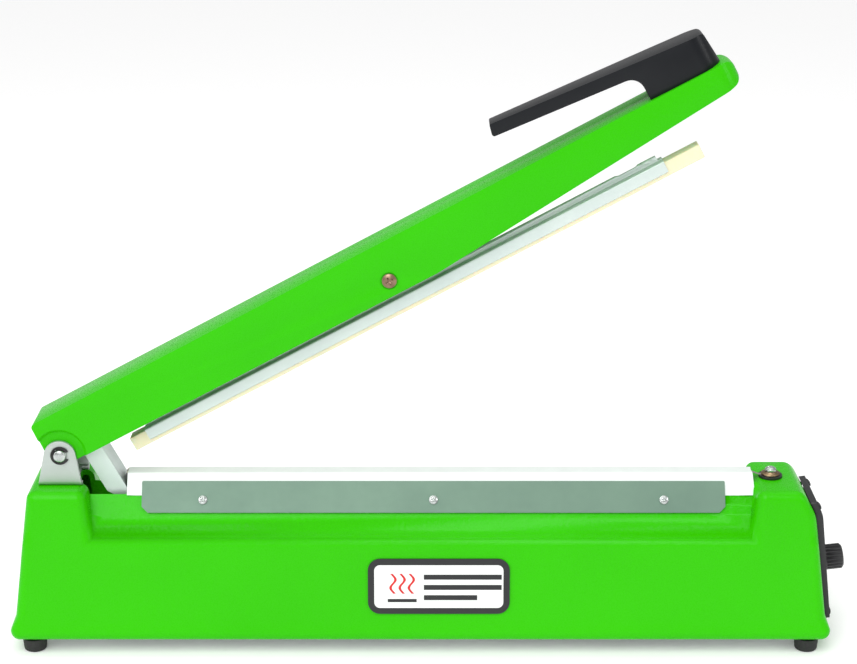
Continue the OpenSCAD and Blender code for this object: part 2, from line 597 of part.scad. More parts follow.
board_x0 = control_deck_in - 62;
board_z = foot_h + floor_t + 8;
module timer_board() color([0.1, 0.35, 0.16]) difference() {
  union() {
    translate([board_x0, -27, board_z]) cube([84, 54, 1.6]);
    for (x = [5, 79], y = [-22, 22]) translate([board_x0 + x, y, foot_h + floor_t]) cylinder(d = 6, h = 8.01);
  }
  for (x = [5, 79], y = [-22, 22]) translate([board_x0 + x, y, foot_h]) cylinder(d = 2.5, h = 14);
}
module board_relay() color([0.12, 0.2, 0.45])
  translate([board_x0 + 12, -16, board_z + 1.6]) cube([19, 15.5, 15.5]);
module board_capacitor() color([0.1, 0.12, 0.3]) {
  translate([board_x0 + 46, -12, board_z + 1.6]) cylinder(d = 12, h = 20);
  translate([board_x0 + 46, 8, board_z + 1.6]) cylinder(d = 8, h = 12);
}

// ---------------------------------------------------------------- transformer
core_x = 0;
core_l = 66;
core_h = 55;
core_d = 30;
core_z = foot_h + floor_t + 1.6;
leg = core_l / 3;
yoke = leg / 2;
frame_hole_x = core_l / 2 + 8;
frame_hole_y = 0;
module transformer_core() color([0.3, 0.3, 0.32]) difference() {
  translate([core_x - core_l / 2, -core_d / 2, core_z]) cube([core_l, core_d, core_h]);
  for (sx = [-1, 1]) translate([core_x + sx * (leg + yoke) / 2 - yoke / 2, -core_d, core_z + yoke])
    cube([yoke, 2 * core_d, core_h - 2 * yoke]);
  for (sx = [-1, 1], z = [yoke / 2, core_h - yoke / 2])
    pin_across(4.2, core_d + 2, core_x + sx * (core_l / 2 - yoke / 2), core_z + z);
}
module transformer_winding() color([0.62, 0.36, 0.12]) difference() {
  translate([core_x - leg / 2 - yoke + 0.4, -core_d / 2 - 10, core_z + yoke + 0.4])
    cube([leg + 2 * yoke - 0.8, core_d + 20, core_h - 2 * yoke - 0.8]);
  translate([core_x - leg / 2 - 0.2, -core_d / 2 - 0.2, core_z]) cube([leg + 0.4, core_d + 0.4, core_h]);
}
// Bent clamp that straddles the core, with a foot at each end
module transformer_frame() color(steel) difference() {
  t = 1.5;
  top = core_z + core_h;
  x = core_l / 2 + 0.1;
  along_frame = [[-x - 15, core_z - 1.5], [-x - t, core_z - 1.5], [-x - t, top + 0.1 + t], [x + t, top + 0.1 + t],
                 [x + t, core_z - 1.5], [x + 15, core_z - 1.5], [x + 15, core_z - 1.5 + t], [x + 2 * t, core_z - 1.5 + t],
                 [x + 2 * t, top + 0.1 + 2 * t], [-x - 2 * t, top + 0.1 + 2 * t], [-x - 2 * t, core_z - 1.5 + t],
                 [-x - 15, core_z - 1.5 + t]];
  translate([core_x, 0, 0]) across(core_d - 6) polygon(along_frame);
  for (sx = [-1, 1]) translate([core_x + sx * frame_hole_x, 0, core_z - 5]) cylinder(d = 4.2, h = 12);
}
module transformer_screws() color(plated) for (sx = [-1, 1])
  translate([core_x + sx * frame_hole_x, 0, core_z]) pan_screw(7, 2.4, 3.2, 4.4);

// ---------------------------------------------------------------- micro switch
switch_x = pin_x + 15;
// Heights follow from the bracket's foot with the arm down
shut_angle = asin((seal_z + shut_gap + strip_depth - pin_z) / pivot_u);
lever_tip_z = pin_z - bracket_drop * cos(shut_angle) + (bracket_web_u - 4) * sin(shut_angle) - 0.5;
switch_h = 15.9;
switch_l = 27.8;
switch_t = 10.3;
switch_z = lever_tip_z - 5.2 - switch_h;
module micro_switch() color(dark) difference() {
  union() {
    translate([switch_x - switch_l / 2, -switch_t / 2, switch_z]) cube([switch_l, switch_t, switch_h]);
    for (i = [-1:1]) translate([switch_x + i * 9.5 - 0.4, -3.2, switch_z - 7]) cube([0.8, 6.4, 7.1]);
    translate([switch_x + 4, 0, switch_z + switch_h - 0.1]) cylinder(d = 3, h = 1);
  }
  for (sx = [-1, 1]) pin_across(3.1, switch_t + 2, switch_x + sx * 11.1, switch_z + (sx > 0 ? 13.1 : 2.8));
}
lever_pin_x = switch_x - switch_l / 2 + 2;
lever_pin_z = switch_z + switch_h + 1.6;
lever_l = 24;
lever_angle = asin((lever_tip_z - lever_pin_z - 0.9) / lever_l);
// Spring-steel lever with a curled root and a rolled tip, hinged on the switch body
module switch_lever() color(plated) translate([lever_pin_x, 0, lever_pin_z]) rotate([0, -lever_angle, 0]) {
  pin_across(1.6, 4.6);
  translate([0, -2.3, -0.25]) cube([lever_l, 4.6, 0.5]);
  pin_across(1.8, 4.6, lever_l, 0);
}
// Bent plate that hangs from the hinge deck on one of the hinge bracket's screws
module switch_bracket() color(steel) difference() {
  y0 = switch_t / 2 + 0.1;
  deck_under = deck_z - wall - 0.1;
  hang_x0 = bracket_screw_x - 6;
  union() {
    translate([0, y0 + 1.5, 0]) rotate([90, 0, 0]) linear_extrude(1.5) polygon(rounded([
      [hang_x0, deck_under, 0], [well_x0 - 4, deck_under, 0], [well_x0 - 4, switch_z + switch_h + 1, 1.5],
      [switch_x + 16, switch_z + switch_h + 1, 2], [switch_x + 16, switch_z - 3, 2], [hang_x0, switch_z - 3, 2]]));
    translate([hang_x0, y0, deck_under - 1.5]) cube([13, 8, 1.5]);
  }
  for (sx = [-1, 1]) pin_across(3.1, 30, switch_x + sx * 11.1, switch_z + (sx > 0 ? 13.1 : 2.8));
  translate([bracket_screw_x, bracket_screw_y, deck_under - 4]) cylinder(d = 3.5, h = 6);
}
module switch_screws() color(plated) for (sx = [-1, 1])
  translate([switch_x + sx * 11.1, -switch_t / 2, switch_z + (sx > 0 ? 13.1 : 2.8)]) rotate([90, 0, 0])
    pan_screw(5, 1.8, 3, switch_t + 4);

// ---------------------------------------------------------------- cord inlet and badge
grommet_x = -base_l / 2 + 92;
grommet_z = 34;
grommet_neck_d = 12;
cord_d = 7;
grommet_flange_t = 2;
module cord_grommet() color(dark) on_rear_wall(grommet_x, grommet_z) {
  grip = side_wall_at(grommet_z) + 0.5;
  rotate_extrude() polygon([[cord_d / 2, -grip - 2.2], [8, -grip - 2.2], [8, -grip], [grommet_neck_d / 2, -grip],
    [grommet_neck_d / 2, 0.05], [8.4, 0.05], [8.4, grommet_flange_t * 0.5], [7.4, grommet_flange_t], [cord_d / 2, grommet_flange_t]]);
}
badge_l = 93;
badge_h = 37.6;
badge_x = 12;
badge_z = 48.6;
badge_r = 8;
badge_border = 4.2;
module badge_plate() color(dark) on_front_wall(badge_x, badge_z) translate([0, 0, 0.05]) linear_extrude(0.85)
  polygon(rounded_rect(-badge_l / 2, badge_l / 2, -badge_h / 2, badge_h / 2, badge_r));
module badge_face() color("white") on_front_wall(badge_x, badge_z) translate([0, 0, 0.9]) linear_extrude(0.3)
  polygon(rounded_rect(-badge_l / 2 + badge_border, badge_l / 2 - badge_border,
                       -badge_h / 2 + badge_border, badge_h / 2 - badge_border, badge_r - badge_border));

// ---------------------------------------------------------------- return spring
anchor_x = well_x1 + 62;
anchor_z = shoulder_z - 5;
hook_u = 22;
hook_w = 48;
hook_at = [pin_x + hook_u * cos(open_angle) + hook_w * sin(open_angle),
           pin_z + hook_u * sin(open_angle) - hook_w * cos(open_angle)];
module spring_anchor() color(steel) difference() {
  union() {
    translate([anchor_x, -5, anchor_z - 0.01]) cube([8, 10, 2]);
    translate([anchor_x, -5, anchor_z - 8]) cube([1.5, 10, 8.01]);
  }
  translate([anchor_x - 1, 0, anchor_z - 4.5]) rotate([0, 90, 0]) cylinder(d = 3, h = 4);
}
coil_r = 3.8;
wire_d = 1;
coil_turns = 20;
coil_steps = 10;
wire_sides = 5;
// Tension spring: a close-wound coil with a straight tail at each end
function coil_point(t, start, finish) =
  let (axis = unit(finish - start), side = [0, 1, 0], up = cross(axis, side))
  start + (finish - start) * t + coil_r * (cos(360 * coil_turns * t) * side + sin(360 * coil_turns * t) * up);
function ring(centre, tangent, r, n) =
  let (t = unit(tangent), side = unit(cross(t, [0.1, 1, 0.3])), up = cross(t, side))
  [for (i = [0:n - 1]) centre + r * (cos(360 * i / n) * side + sin(360 * i / n) * up)];
module swept_wire(path, r, n) {
  m = len(path);
  rings = [for (i = [0:m - 1]) ring(path[i], path[min(i + 1, m - 1)] - path[max(i - 1, 0)], r, n)];
  near = [for (i = [0:m - 2], j = [0:n - 1]) [i * n + j, i * n + (j + 1) % n, (i + 1) * n + j]];
  far = [for (i = [0:m - 2], j = [0:n - 1]) [i * n + (j + 1) % n, (i + 1) * n + (j + 1) % n, (i + 1) * n + j]];
  polyhedron([for (r = rings) each r],
    concat(near, far, [[for (j = [n - 1:-1:0]) j]], [[for (j = [0:n - 1]) (m - 1) * n + j]]), convexity = 10);
}
module return_spring() color(plated) {
  start = [hook_at.x + 6, 0, hook_at.y - 1.5];
  finish = [anchor_x - 4, 0, anchor_z - 4.5];
  steps = coil_turns * coil_steps;
  coil = [for (i = [0:steps]) coil_point(i / steps, start, finish)];
  hook = [for (u = [-0.4, 3.6]) [hook_at.x + u * cos(open_angle), 0, hook_at.y + u * sin(open_angle)]];
  tail = [[anchor_x - 1, 0, finish.z], [anchor_x + 2.5, 0, finish.z]];
  swept_wire(concat(hook, coil, tail), wire_d / 2, wire_sides);
}

// ---------------------------------------------------------------- arm
nose_u = seal_start + seal_l + nose_reach;
bend_u = nose_u - 225;
function arm_side(inset) = rounded([
  [-9.2 + inset, -arm_bottom - 20 * sign(inset), inset > 0 ? 0 : 2.5], [-6.8 + inset, arm_top - inset, max(3 - inset, 1)],
  [nose_u - inset, arm_top - inset, max(7 - inset, 2)], [nose_u - inset, arm_top - nose_h - 20 * sign(inset), inset > 0 ? 0 : 6],
  each inset > 0 ? [] : [[nose_u - 10, arm_top - nose_h - 1.4, 16], [bend_u, -arm_bottom, 60]]]);
function arm_plan(inset) = let (y = arm_w / 2 - inset) rounded([
  [-14, -y, max(2.5 - inset, 0.8)], [nose_u - inset, -y, 13 - inset],
  [nose_u - inset, y, 13 - inset], [-14, y, max(2.5 - inset, 0.8)]], 12);
module arm_blank(inset) intersection() {
  across(arm_w + 10) polygon(arm_side(inset));
  translate([0, 0, -60]) linear_extrude(120) polygon(arm_plan(inset));
}
hub_d = 17;
pad_in = 11.5;
module arm_shell() color(paint) on_arm() difference() {
  union() {
    difference() {
      arm_blank(0);
      arm_blank(arm_wall);
    }
    // bearing hub, with a thicker wall behind each hollow
    intersection() {
      union() {
        pin_across(hub_d, arm_w - 1);
        both_sides() translate([0, -pad_in, 0]) rotate([90, 0, 0]) cylinder(r = ear_hollow_r + 2, h = arm_w / 2 - pad_in - 0.5);
      }
      arm_blank(0);
    }
    // pivot bosses
    both_sides() translate([pivot_u, -arm_w / 2 + arm_wall + 1.5, pivot_w]) rotate([90, 0, 0]) cylinder(d = 14, h = 3);
  }
  both_sides() translate([0, -arm_w / 2 + ear_hollow, 0]) rotate([90, 0, 0])
    cylinder(r1 = ear_hollow_r, r2 = ear_hollow_r + 2, h = ear_hollow + 0.02);
  pin_across(pin_d + 2 * run_play, arm_w + 2);
  pin_across(pivot_d + 0.2, arm_w + 2, pivot_u, pivot_w);
  both_sides() translate([pivot_u, -arm_w / 2 + 0.6, pivot_w]) rotate([90, 0, 0]) cylinder(d = 11.2, h = 2);
  for (u = handle_screw_u) translate([u, 0, arm_top - arm_wall - 2]) cylinder(d = 4.3, h = arm_wall + 4);
  for (y = [-6, 6]) translate([bracket_tab_u, y, arm_top - arm_wall - 2]) cylinder(d = 2.5, h = 4);
}

grip_z = arm_top + finger_gap;
handle_end = nose_u - 6.5;
handle_screw_u = [handle_end - handle_foot_l + 12, handle_end - 14];
function handle_side() = let (tip = handle_end - handle_l, foot = handle_end - handle_foot_l, k = tan(grip_rise))
  rounded([[foot, arm_top, 0], [foot - 0.4, grip_z, 9], [tip, grip_z + (foot - tip) * k, 1.6],
           [tip + 2, grip_z + grip_t + (foot - tip) * k, 1.2], [handle_end - 2.2, grip_z + grip_t - 46 * k, 3],
           [handle_end, arm_top, 0]]);
function handle_plan() = let (tip = handle_end - handle_l, a = handle_tip_w / 2, b = handle_foot_w / 2)
  rounded([[tip, -a, 2.5], [handle_end - 34, -b + 0.6, 60], [handle_end, -b, b - 2],
           [handle_end, b, b - 2], [handle_end - 34, b - 0.6, 60], [tip, a, 2.5]], 10);
module handle() color(dark) on_arm() difference() {
  intersection() {
    across(arm_w) polygon(handle_side());
    linear_extrude(120) polygon(handle_plan());
  }
  for (u = handle_screw_u) translate([u, 0, arm_top - 1]) cylinder(d = 3.4, h = 13);
}
module handle_screws() color(plated) on_arm() for (u = handle_screw_u)
  translate([u, 0, arm_top - arm_wall]) rotate([180, 0, 0]) pan_screw(7.4, 2.6, 3.3, 14);

// Bent channel under the arm: it pulls on the return spring and works the switch
module spring_bracket() color(steel) on_arm() difference() {
  top = arm_top - arm_wall - 0.05;
  union() {
    translate([bracket_web_u - bracket_sheet, -bracket_w / 2, -bracket_drop])
      cube([bracket_sheet, bracket_w, top + bracket_drop]);
    translate([bracket_web_u - bracket_sheet, -bracket_w / 2, top - bracket_sheet]) cube([16, bracket_w, bracket_sheet]);
    for (y = [-bracket_w / 2, bracket_w / 2 - bracket_sheet]) translate([0, y + bracket_sheet, 0]) rotate([90, 0, 0])
      linear_extrude(bracket_sheet) polygon([[bracket_back_u, -bracket_drop + 14], [bracket_web_u - 4, -bracket_drop],
        [bracket_web_u, -bracket_drop], [bracket_web_u, arm_bottom + 6], [bracket_back_u, arm_bottom + 6]]);
  }
  translate([0, 0, -hook_w]) rotate([0, 90, 0]) cylinder(d = 3, h = 60);
  for (y = [-6, 6]) translate([bracket_tab_u, y, top - 6]) cylinder(d = 3.4, h = 10);
}
module spring_bracket_screws() color(plated) on_arm() for (y = [-6, 6])
  translate([bracket_tab_u, y, arm_top - arm_wall - bracket_sheet - 0.05]) rotate([180, 0, 0]) pan_screw(5, 1.6, 2.4, 3.4);

pivot_seat = arm_w / 2 - 0.6;
module pivot_screw() color([0.55, 0.42, 0.3]) on_arm() translate([pivot_u, -pivot_seat, pivot_w]) rotate([90, 0, 0])
  pan_screw(9.4, 2.6, pivot_d, 2 * pivot_seat + 4.6);
module pivot_nut() color(plated) on_arm() translate([pivot_u, pivot_seat, pivot_w]) rotate([-90, 0, 0]) difference() {
  cylinder(d = 10.6, h = 4, $fn = 6);
  translate([0, 0, -1]) cylinder(d = pivot_d + 0.04, h = 8);
}
web_t = 2 * bar_t;
module pivot_spacers() color(plated) on_arm() both_sides() translate([pivot_u, -web_t / 2 - 0.15, pivot_w]) rotate([90, 0, 0])
  difference() {
    cylinder(d = 10, h = arm_w / 2 - arm_wall - 1.5 - web_t / 2 - 0.2);
    translate([0, 0, -1]) cylinder(d = pivot_d + 0.2, h = arm_w);
  }

// ---------------------------------------------------------------- press bar
bar_u0 = seal_start + 8.5;
bar_u1 = seal_start + seal_l - 22;
strip_top = -strip_depth + strip_h;
fold_w = strip_top + bar_t;
web_top = 13;
slot_l = 21;
function bar_section() = let (half = strip_w / 2 + 0.15, lip = fold_w - channel_h)
  mirrored(rounded([[-web_t / 2, web_top, 0.5], [-web_t / 2, fold_w, 0.8], [-half - bar_t, fold_w, 1.2],
           [-half - bar_t, lip, 0.3], [-half, lip, 0.3], [-half, strip_top + 0.05, 0.3], [0, strip_top + 0.05, 0]], 4));
module slot(u0, u1, w0, w1) across(20) polygon(rounded_rect(u0, u1, w0, w1, (w1 - w0) / 2 - 0.05));
module press_bar() color(steel) on_arm() difference() {
  along(bar_u0, bar_u1) polygon(bar_section());
  // the web stops short of the channel and its ends are cut back
  across(20) polygon([[bar_u1 - 3, fold_w + 0.5], [bar_u1 + 1, fold_w + 0.5], [bar_u1 + 1, web_top + 1], [bar_u1 - 5, web_top + 1]]);
  across(20) polygon([[bar_u0 - 1, fold_w + 0.5], [bar_u0 + 3, fold_w + 0.5], [bar_u0 + 5, web_top + 1], [bar_u0 - 1, web_top + 1]]);
  slot(bar_u1 - 13 - slot_l, bar_u1 - 13, fold_w + 3, fold_w + 14);
  slot(bar_u0 + 13, bar_u0 + 13 + slot_l, fold_w + 3, fold_w + 14);
  pin_across(pivot_d + 2 * run_play, 20, pivot_u, pivot_w);
}
module silicone_strip() color([0.93, 0.91, 0.78]) on_arm()
  translate([seal_start, -strip_w / 2, -strip_depth]) cube([seal_l, strip_w, strip_h]);

place() base_housing();
place() bottom_plate();
place() foot_front_left();
place() foot_front_right();
place() foot_rear_left();
place() foot_rear_right();
place() foot_screws();
place() hinge_bracket();
place() hinge_bracket_screws();
place() hinge_pin();
place() hinge_clips();
place() seal_rail();
place() rail_screws();
place() glass_tape();
place() heating_element();
place() nonstick_sheet();
place() press_plate_front();
place() press_plate_rear();
place() press_plate_screws();
place() terminal_bush();
place() terminal_washer();
place() terminal_screw();
place() terminal_nut();
place() tail_block();
place() tail_screw();
place() control_panel();
place() panel_screws();
place() timer_potentiometer();
place() potentiometer_nut();
place() power_lamp();
place() sealing_lamp();
place() timer_board();
place() board_relay();
place() board_capacitor();
place() transformer_core();
place() transformer_winding();
place() transformer_frame();
place() transformer_screws();
place() micro_switch();
place() switch_bracket();
place() switch_screws();
place() cord_grommet();
place() badge_plate();
place() badge_face();
place() spring_anchor();
place() return_spring();
place() arm_shell();
place() handle();
place() handle_screws();
place() spring_bracket();
place() spring_bracket_screws();
place() pivot_screw();
place() pivot_spacers();
place() pivot_nut();
place() press_bar();
place() silicone_strip();
place() timer_knob();
place() switch_lever();
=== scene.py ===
# %% [markdown]
# # A hand-operated impulse heat sealer
#
# The machine's frame comes from a CAD model: a cast base, a hinged arm, a rocking press bar
# and everything that fastens them. This lesson gives that frame its finishes and adds the
# soft and fine parts that are quicker to shape. The frame stays where it is, and each
# new piece takes its place from the box of the part that it belongs to.

# %% Load the frame
import json
import math
import bpy
import bmesh
from mathutils import Matrix, Vector


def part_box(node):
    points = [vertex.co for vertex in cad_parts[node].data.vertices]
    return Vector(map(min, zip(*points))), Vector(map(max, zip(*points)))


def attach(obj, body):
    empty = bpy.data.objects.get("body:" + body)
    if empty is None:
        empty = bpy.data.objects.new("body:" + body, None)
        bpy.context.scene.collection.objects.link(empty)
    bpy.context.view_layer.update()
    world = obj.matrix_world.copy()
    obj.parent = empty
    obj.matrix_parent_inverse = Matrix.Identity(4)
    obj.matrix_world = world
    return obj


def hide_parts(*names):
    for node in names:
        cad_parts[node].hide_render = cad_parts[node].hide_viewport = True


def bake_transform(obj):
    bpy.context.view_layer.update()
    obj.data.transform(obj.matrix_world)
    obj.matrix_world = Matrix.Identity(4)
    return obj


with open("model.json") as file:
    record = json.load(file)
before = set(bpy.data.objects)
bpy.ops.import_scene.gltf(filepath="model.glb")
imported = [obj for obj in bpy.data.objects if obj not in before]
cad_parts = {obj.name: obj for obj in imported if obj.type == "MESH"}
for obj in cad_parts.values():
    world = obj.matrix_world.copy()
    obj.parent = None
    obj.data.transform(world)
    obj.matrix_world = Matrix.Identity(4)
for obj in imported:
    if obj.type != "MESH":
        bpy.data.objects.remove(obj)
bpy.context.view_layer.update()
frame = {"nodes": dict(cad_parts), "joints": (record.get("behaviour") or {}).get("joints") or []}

# %% [markdown]
# The camera stands a little above the machine and looks slightly down on its front. A long
# lens keeps the long base straight. It is set up first, so that every finish can be judged
# from where it will be seen.

# %% Camera
SENSOR_MM, LENS_MM = 36, 88.1685
CAMERA_AT = (-0.0014, -1.3, 0.6213)
LOOK_DOWN = math.radians(17.5)
camera_data = bpy.data.cameras.new("camera")
camera_data.sensor_width = SENSOR_MM
camera_data.lens = LENS_MM
camera = bpy.data.objects.new("camera", camera_data)
camera.location = CAMERA_AT
camera.rotation_euler = (math.radians(90) - LOOK_DOWN, 0, 0)
bpy.context.collection.objects.link(camera)
bpy.context.scene.camera = camera
print("lens:", round(camera_data.lens, 1), "mm")

# %% [markdown]
# A few helpers keep the rest short. Operators act on whatever is selected, so everything is
# deselected before each new piece. A finished piece keeps its place in its mesh and leaves
# its object at the origin, so that patterns in object coordinates stay where they are.

# %% Selecting and finishing pieces
def deselect():
    for thing in bpy.context.selected_objects:
        thing.select_set(False)
    bpy.context.view_layer.objects.active = None


def select_only(piece):
    deselect()
    piece.select_set(True)
    bpy.context.view_layer.objects.active = piece


def bake_place(piece):
    select_only(piece)
    bpy.ops.object.transform_apply(location=True, rotation=True, scale=True)


def apply_modifiers(piece):
    select_only(piece)
    for modifier in list(piece.modifiers):
        bpy.ops.object.modifier_apply(modifier=modifier.name)


def smooth(piece, degrees=32):
    select_only(piece)
    bpy.ops.object.shade_smooth_by_angle(angle=math.radians(degrees))


def dress(piece, material):
    piece.data.materials.clear()
    piece.data.materials.append(material)


def join(pieces, name):
    deselect()
    for piece in pieces:
        piece.select_set(True)
    bpy.context.view_layer.objects.active = pieces[0]
    if len(pieces) > 1:
        bpy.ops.object.join()
    pieces[0].name = name
    pieces[0].data.name = name
    return pieces[0]


# %% [markdown]
# CAD meshes arrive as loose triangles, and those shade flat. A polished copy of a node has
# its doubles merged, gets a small bevel where the real edge is broken, and is shaded smooth
# up to a crease angle. The bevel works on flat faces only, so the triangles of each flat
# face are dissolved into one first.

# %% Polished copies of CAD nodes
MERGE = 1e-6
FLAT_ANGLE = math.radians(1)


def polish(node, body, material, bevel=0.0, crease=32, segments=2, name=None):
    source = frame["nodes"][node]
    mesh = source.data.copy()
    mesh.materials.clear()
    mesh.materials.append(material)
    work = bmesh.new()
    work.from_mesh(mesh)
    bmesh.ops.remove_doubles(work, verts=work.verts, dist=MERGE)
    if bevel:
        bmesh.ops.dissolve_limit(work, angle_limit=FLAT_ANGLE, verts=work.verts, edges=work.edges)
    work.to_mesh(mesh)
    work.free()
    piece = bpy.data.objects.new(name or node + "_skin", mesh)
    bpy.context.collection.objects.link(piece)
    if bevel:
        edge = piece.modifiers.new("edge", "BEVEL")
        edge.width = bevel
        edge.segments = segments
        edge.limit_method = "ANGLE"
        edge.angle_limit = math.radians(crease)
        edge.harden_normals = False
        apply_modifiers(piece)
    smooth(piece, crease)
    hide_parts(node)
    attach(piece, body)
    return piece


# %% [markdown]
# A cast or moulded copy can be drawn closer to the real form than the frame's plain solid.
# It is first cut by planes where it has to turn, so that each turn has its own row of points,
# and a rule then says where each point goes.

# %% Reshaping a copy
def reshape(piece, move, cuts=(), crease=38):
    work = bmesh.new()
    work.from_mesh(piece.data)
    for point, normal in cuts:
        everything = work.verts[:] + work.edges[:] + work.faces[:]
        bmesh.ops.bisect_plane(work, geom=everything, plane_co=point, plane_no=normal)
    for vert in work.verts:
        vert.co = move(vert.co)
    work.to_mesh(piece.data)
    work.free()
    smooth(piece, crease)


def ease(value, low, high):
    """Goes smoothly from 0 at low to 1 at high."""
    share = min(1.0, max(0.0, (value - low) / (high - low)))
    return share * share * (3 - 2 * share)


# %% [markdown]
# Materials are small node graphs. Each one starts from a Principled shader, whose plain
# numbers are set on its own sockets, and adds only the detail that the real finish shows.
# One helper makes the shader and others add noise, bump and colour.

# %% Material helpers
def new_material(name, **sockets):
    material = bpy.data.materials.new(name)
    material.use_nodes = True
    shader = material.node_tree.nodes["Principled BSDF"]
    for socket, value in sockets.items():
        shader.inputs[socket.replace("_", " ")].default_value = value
    return material


def add_node(material, kind, **settings):
    node = material.node_tree.nodes.new(kind)
    for key, value in settings.items():
        if key in node.inputs:
            node.inputs[key].default_value = value
        else:
            setattr(node, key, value)
    return node


def link(material, out, into):
    material.node_tree.links.new(out, into)


def shader_of(material):
    return material.node_tree.nodes["Principled BSDF"]


def object_coords(material, scale=(1, 1, 1)):
    coords = add_node(material, "ShaderNodeTexCoord")
    mapping = add_node(material, "ShaderNodeMapping")
    mapping.inputs["Scale"].default_value = scale
    link(material, coords.outputs["Object"], mapping.inputs["Vector"])
    return mapping.outputs["Vector"]


def noise(material, coords, scale, detail=2.0, roughness=0.5):
    texture = add_node(material, "ShaderNodeTexNoise")
    texture.inputs["Scale"].default_value = scale
    texture.inputs["Detail"].default_value = detail
    texture.inputs["Roughness"].default_value = roughness
    link(material, coords, texture.inputs["Vector"])
    return texture.outputs["Fac"]


def ramp(material, fac, stops):
    node = add_node(material, "ShaderNodeValToRGB")
    elements = node.color_ramp.elements
    while len(elements) < len(stops):
        elements.new(0.5)
    for element, (at, colour) in zip(elements, stops):
        element.position = at
        element.color = (*colour, 1.0)
    link(material, fac, node.inputs["Fac"])
    return node.outputs["Color"]


def grey_ramp(material, fac, low, high, low_at=0.3, high_at=0.7):
    node = add_node(material, "ShaderNodeMapRange")
    node.inputs["From Min"].default_value = low_at
    node.inputs["From Max"].default_value = high_at
    node.inputs["To Min"].default_value = low
    node.inputs["To Max"].default_value = high
    link(material, fac, node.inputs["Value"])
    return node.outputs["Result"]


def bump(material, height, distance, strength=1.0, under=None):
    node = add_node(material, "ShaderNodeBump")
    node.inputs["Strength"].default_value = strength
    node.inputs["Distance"].default_value = distance
    link(material, height, node.inputs["Height"])
    if under:
        link(material, under, node.inputs["Normal"])
    return node.outputs["Normal"]


# %% [markdown]
# The base and the arm are cast aluminium under a thick stoved enamel. The enamel flows
# before it sets and leaves an uneven skin: shallow dimples a millimetre or two across, with
# finer pits between them, that break up each highlight. Two sizes of noise as bump under a
# thin glossy coat give that. The colour drifts slightly with the thickness of the film.

# %% Green stoved enamel
def enamel(name, body, shade):
    material = new_material(name, Metallic=0.0, Coat_Weight=0.05, Coat_Roughness=0.08, Specular_IOR_Level=0.1)
    coords = object_coords(material)
    shader = shader_of(material)
    drift = noise(material, coords, 12.0, 1.0)
    link(material, ramp(material, drift, [(0.3, shade), (0.7, body)]), shader.inputs["Base Color"])
    dimples = noise(material, coords, 420.0, 1.5, 0.4)
    pits = noise(material, coords, 1300.0, 2.0, 0.6)
    coarse = bump(material, dimples, 0.00035, 0.6)
    normal = bump(material, pits, 0.0001, 0.5, coarse)
    link(material, normal, shader.inputs["Normal"])
    link(material, normal, shader.inputs["Coat Normal"])
    link(material, grey_ramp(material, pits, 0.2, 0.38), shader.inputs["Roughness"])
    return material


green_enamel = enamel("green_enamel", (0.034, 0.50, 0.0), (0.032, 0.475, 0.0))
print("enamel ready")

# %% [markdown]
# Sheet metal parts are bent from zinc-plated or stainless strip. Rolling leaves fine lines
# along the strip, so the noise is stretched along the part's length and drives both the
# roughness and a very shallow bump. The press plates are satin, and their grain is almost even.

# %% Sheet metals and turned metals
def rolled_metal(name, light, dark, rough=(0.25, 0.4), stretch=(6, 900, 900), blotch=30.0, metallic=1.0):
    material = new_material(name, Metallic=metallic)
    shader = shader_of(material)
    lines = noise(material, object_coords(material, stretch), 1.0, 3.0, 0.6)
    cloud = noise(material, object_coords(material), blotch, 3.0)
    link(material, ramp(material, cloud, [(0.3, dark), (0.7, light)]), shader.inputs["Base Color"])
    link(material, grey_ramp(material, lines, *rough), shader.inputs["Roughness"])
    link(material, bump(material, lines, 0.00002, 0.35), shader.inputs["Normal"])
    return material


def turned_metal(name, light, dark, rough=(0.2, 0.35), grain=700.0):
    material = new_material(name, Metallic=1.0)
    shader = shader_of(material)
    coords = object_coords(material)
    grains = noise(material, coords, grain, 3.0, 0.6)
    cloud = noise(material, coords, 150.0, 2.0)
    link(material, ramp(material, cloud, [(0.3, dark), (0.7, light)]), shader.inputs["Base Color"])
    link(material, grey_ramp(material, grains, *rough), shader.inputs["Roughness"])
    link(material, bump(material, grains, 0.00002, 0.25), shader.inputs["Normal"])
    return material


SATIN = (250, 300, 300)
stainless = rolled_metal("stainless_sheet", (0.14, 0.23, 0.17), (0.12, 0.2, 0.15), (0.45, 0.5), SATIN,
                         metallic=0.4)
zinc_sheet = rolled_metal("zinc_sheet", (0.5, 0.55, 0.52), (0.43, 0.48, 0.45), (0.35, 0.5), metallic=0.7)
bar_sheet = rolled_metal("bar_sheet", (0.66, 0.74, 0.71), (0.6, 0.68, 0.66), (0.35, 0.5), metallic=0.35)
bright_zinc = turned_metal("bright_zinc", (0.62, 0.66, 0.64), (0.45, 0.48, 0.47))
brass = turned_metal("brass", (0.4, 0.29, 0.17), (0.2, 0.13, 0.08), (0.3, 0.5))
bronze = turned_metal("bronze_screw", (0.36, 0.24, 0.16), (0.2, 0.13, 0.09), (0.25, 0.45))
black_steel = turned_metal("black_steel", (0.06, 0.06, 0.06), (0.03, 0.03, 0.03), (0.35, 0.5))
element_strip = rolled_metal("element_strip", (0.5, 0.47, 0.42), (0.4, 0.37, 0.33), (0.25, 0.4))

# %% [markdown]
# Moulded black plastic is never quite flat: a spark-eroded mould gives it a fine, even grain.
# Rubber is duller and a little dusty. Both come from one helper with different numbers.

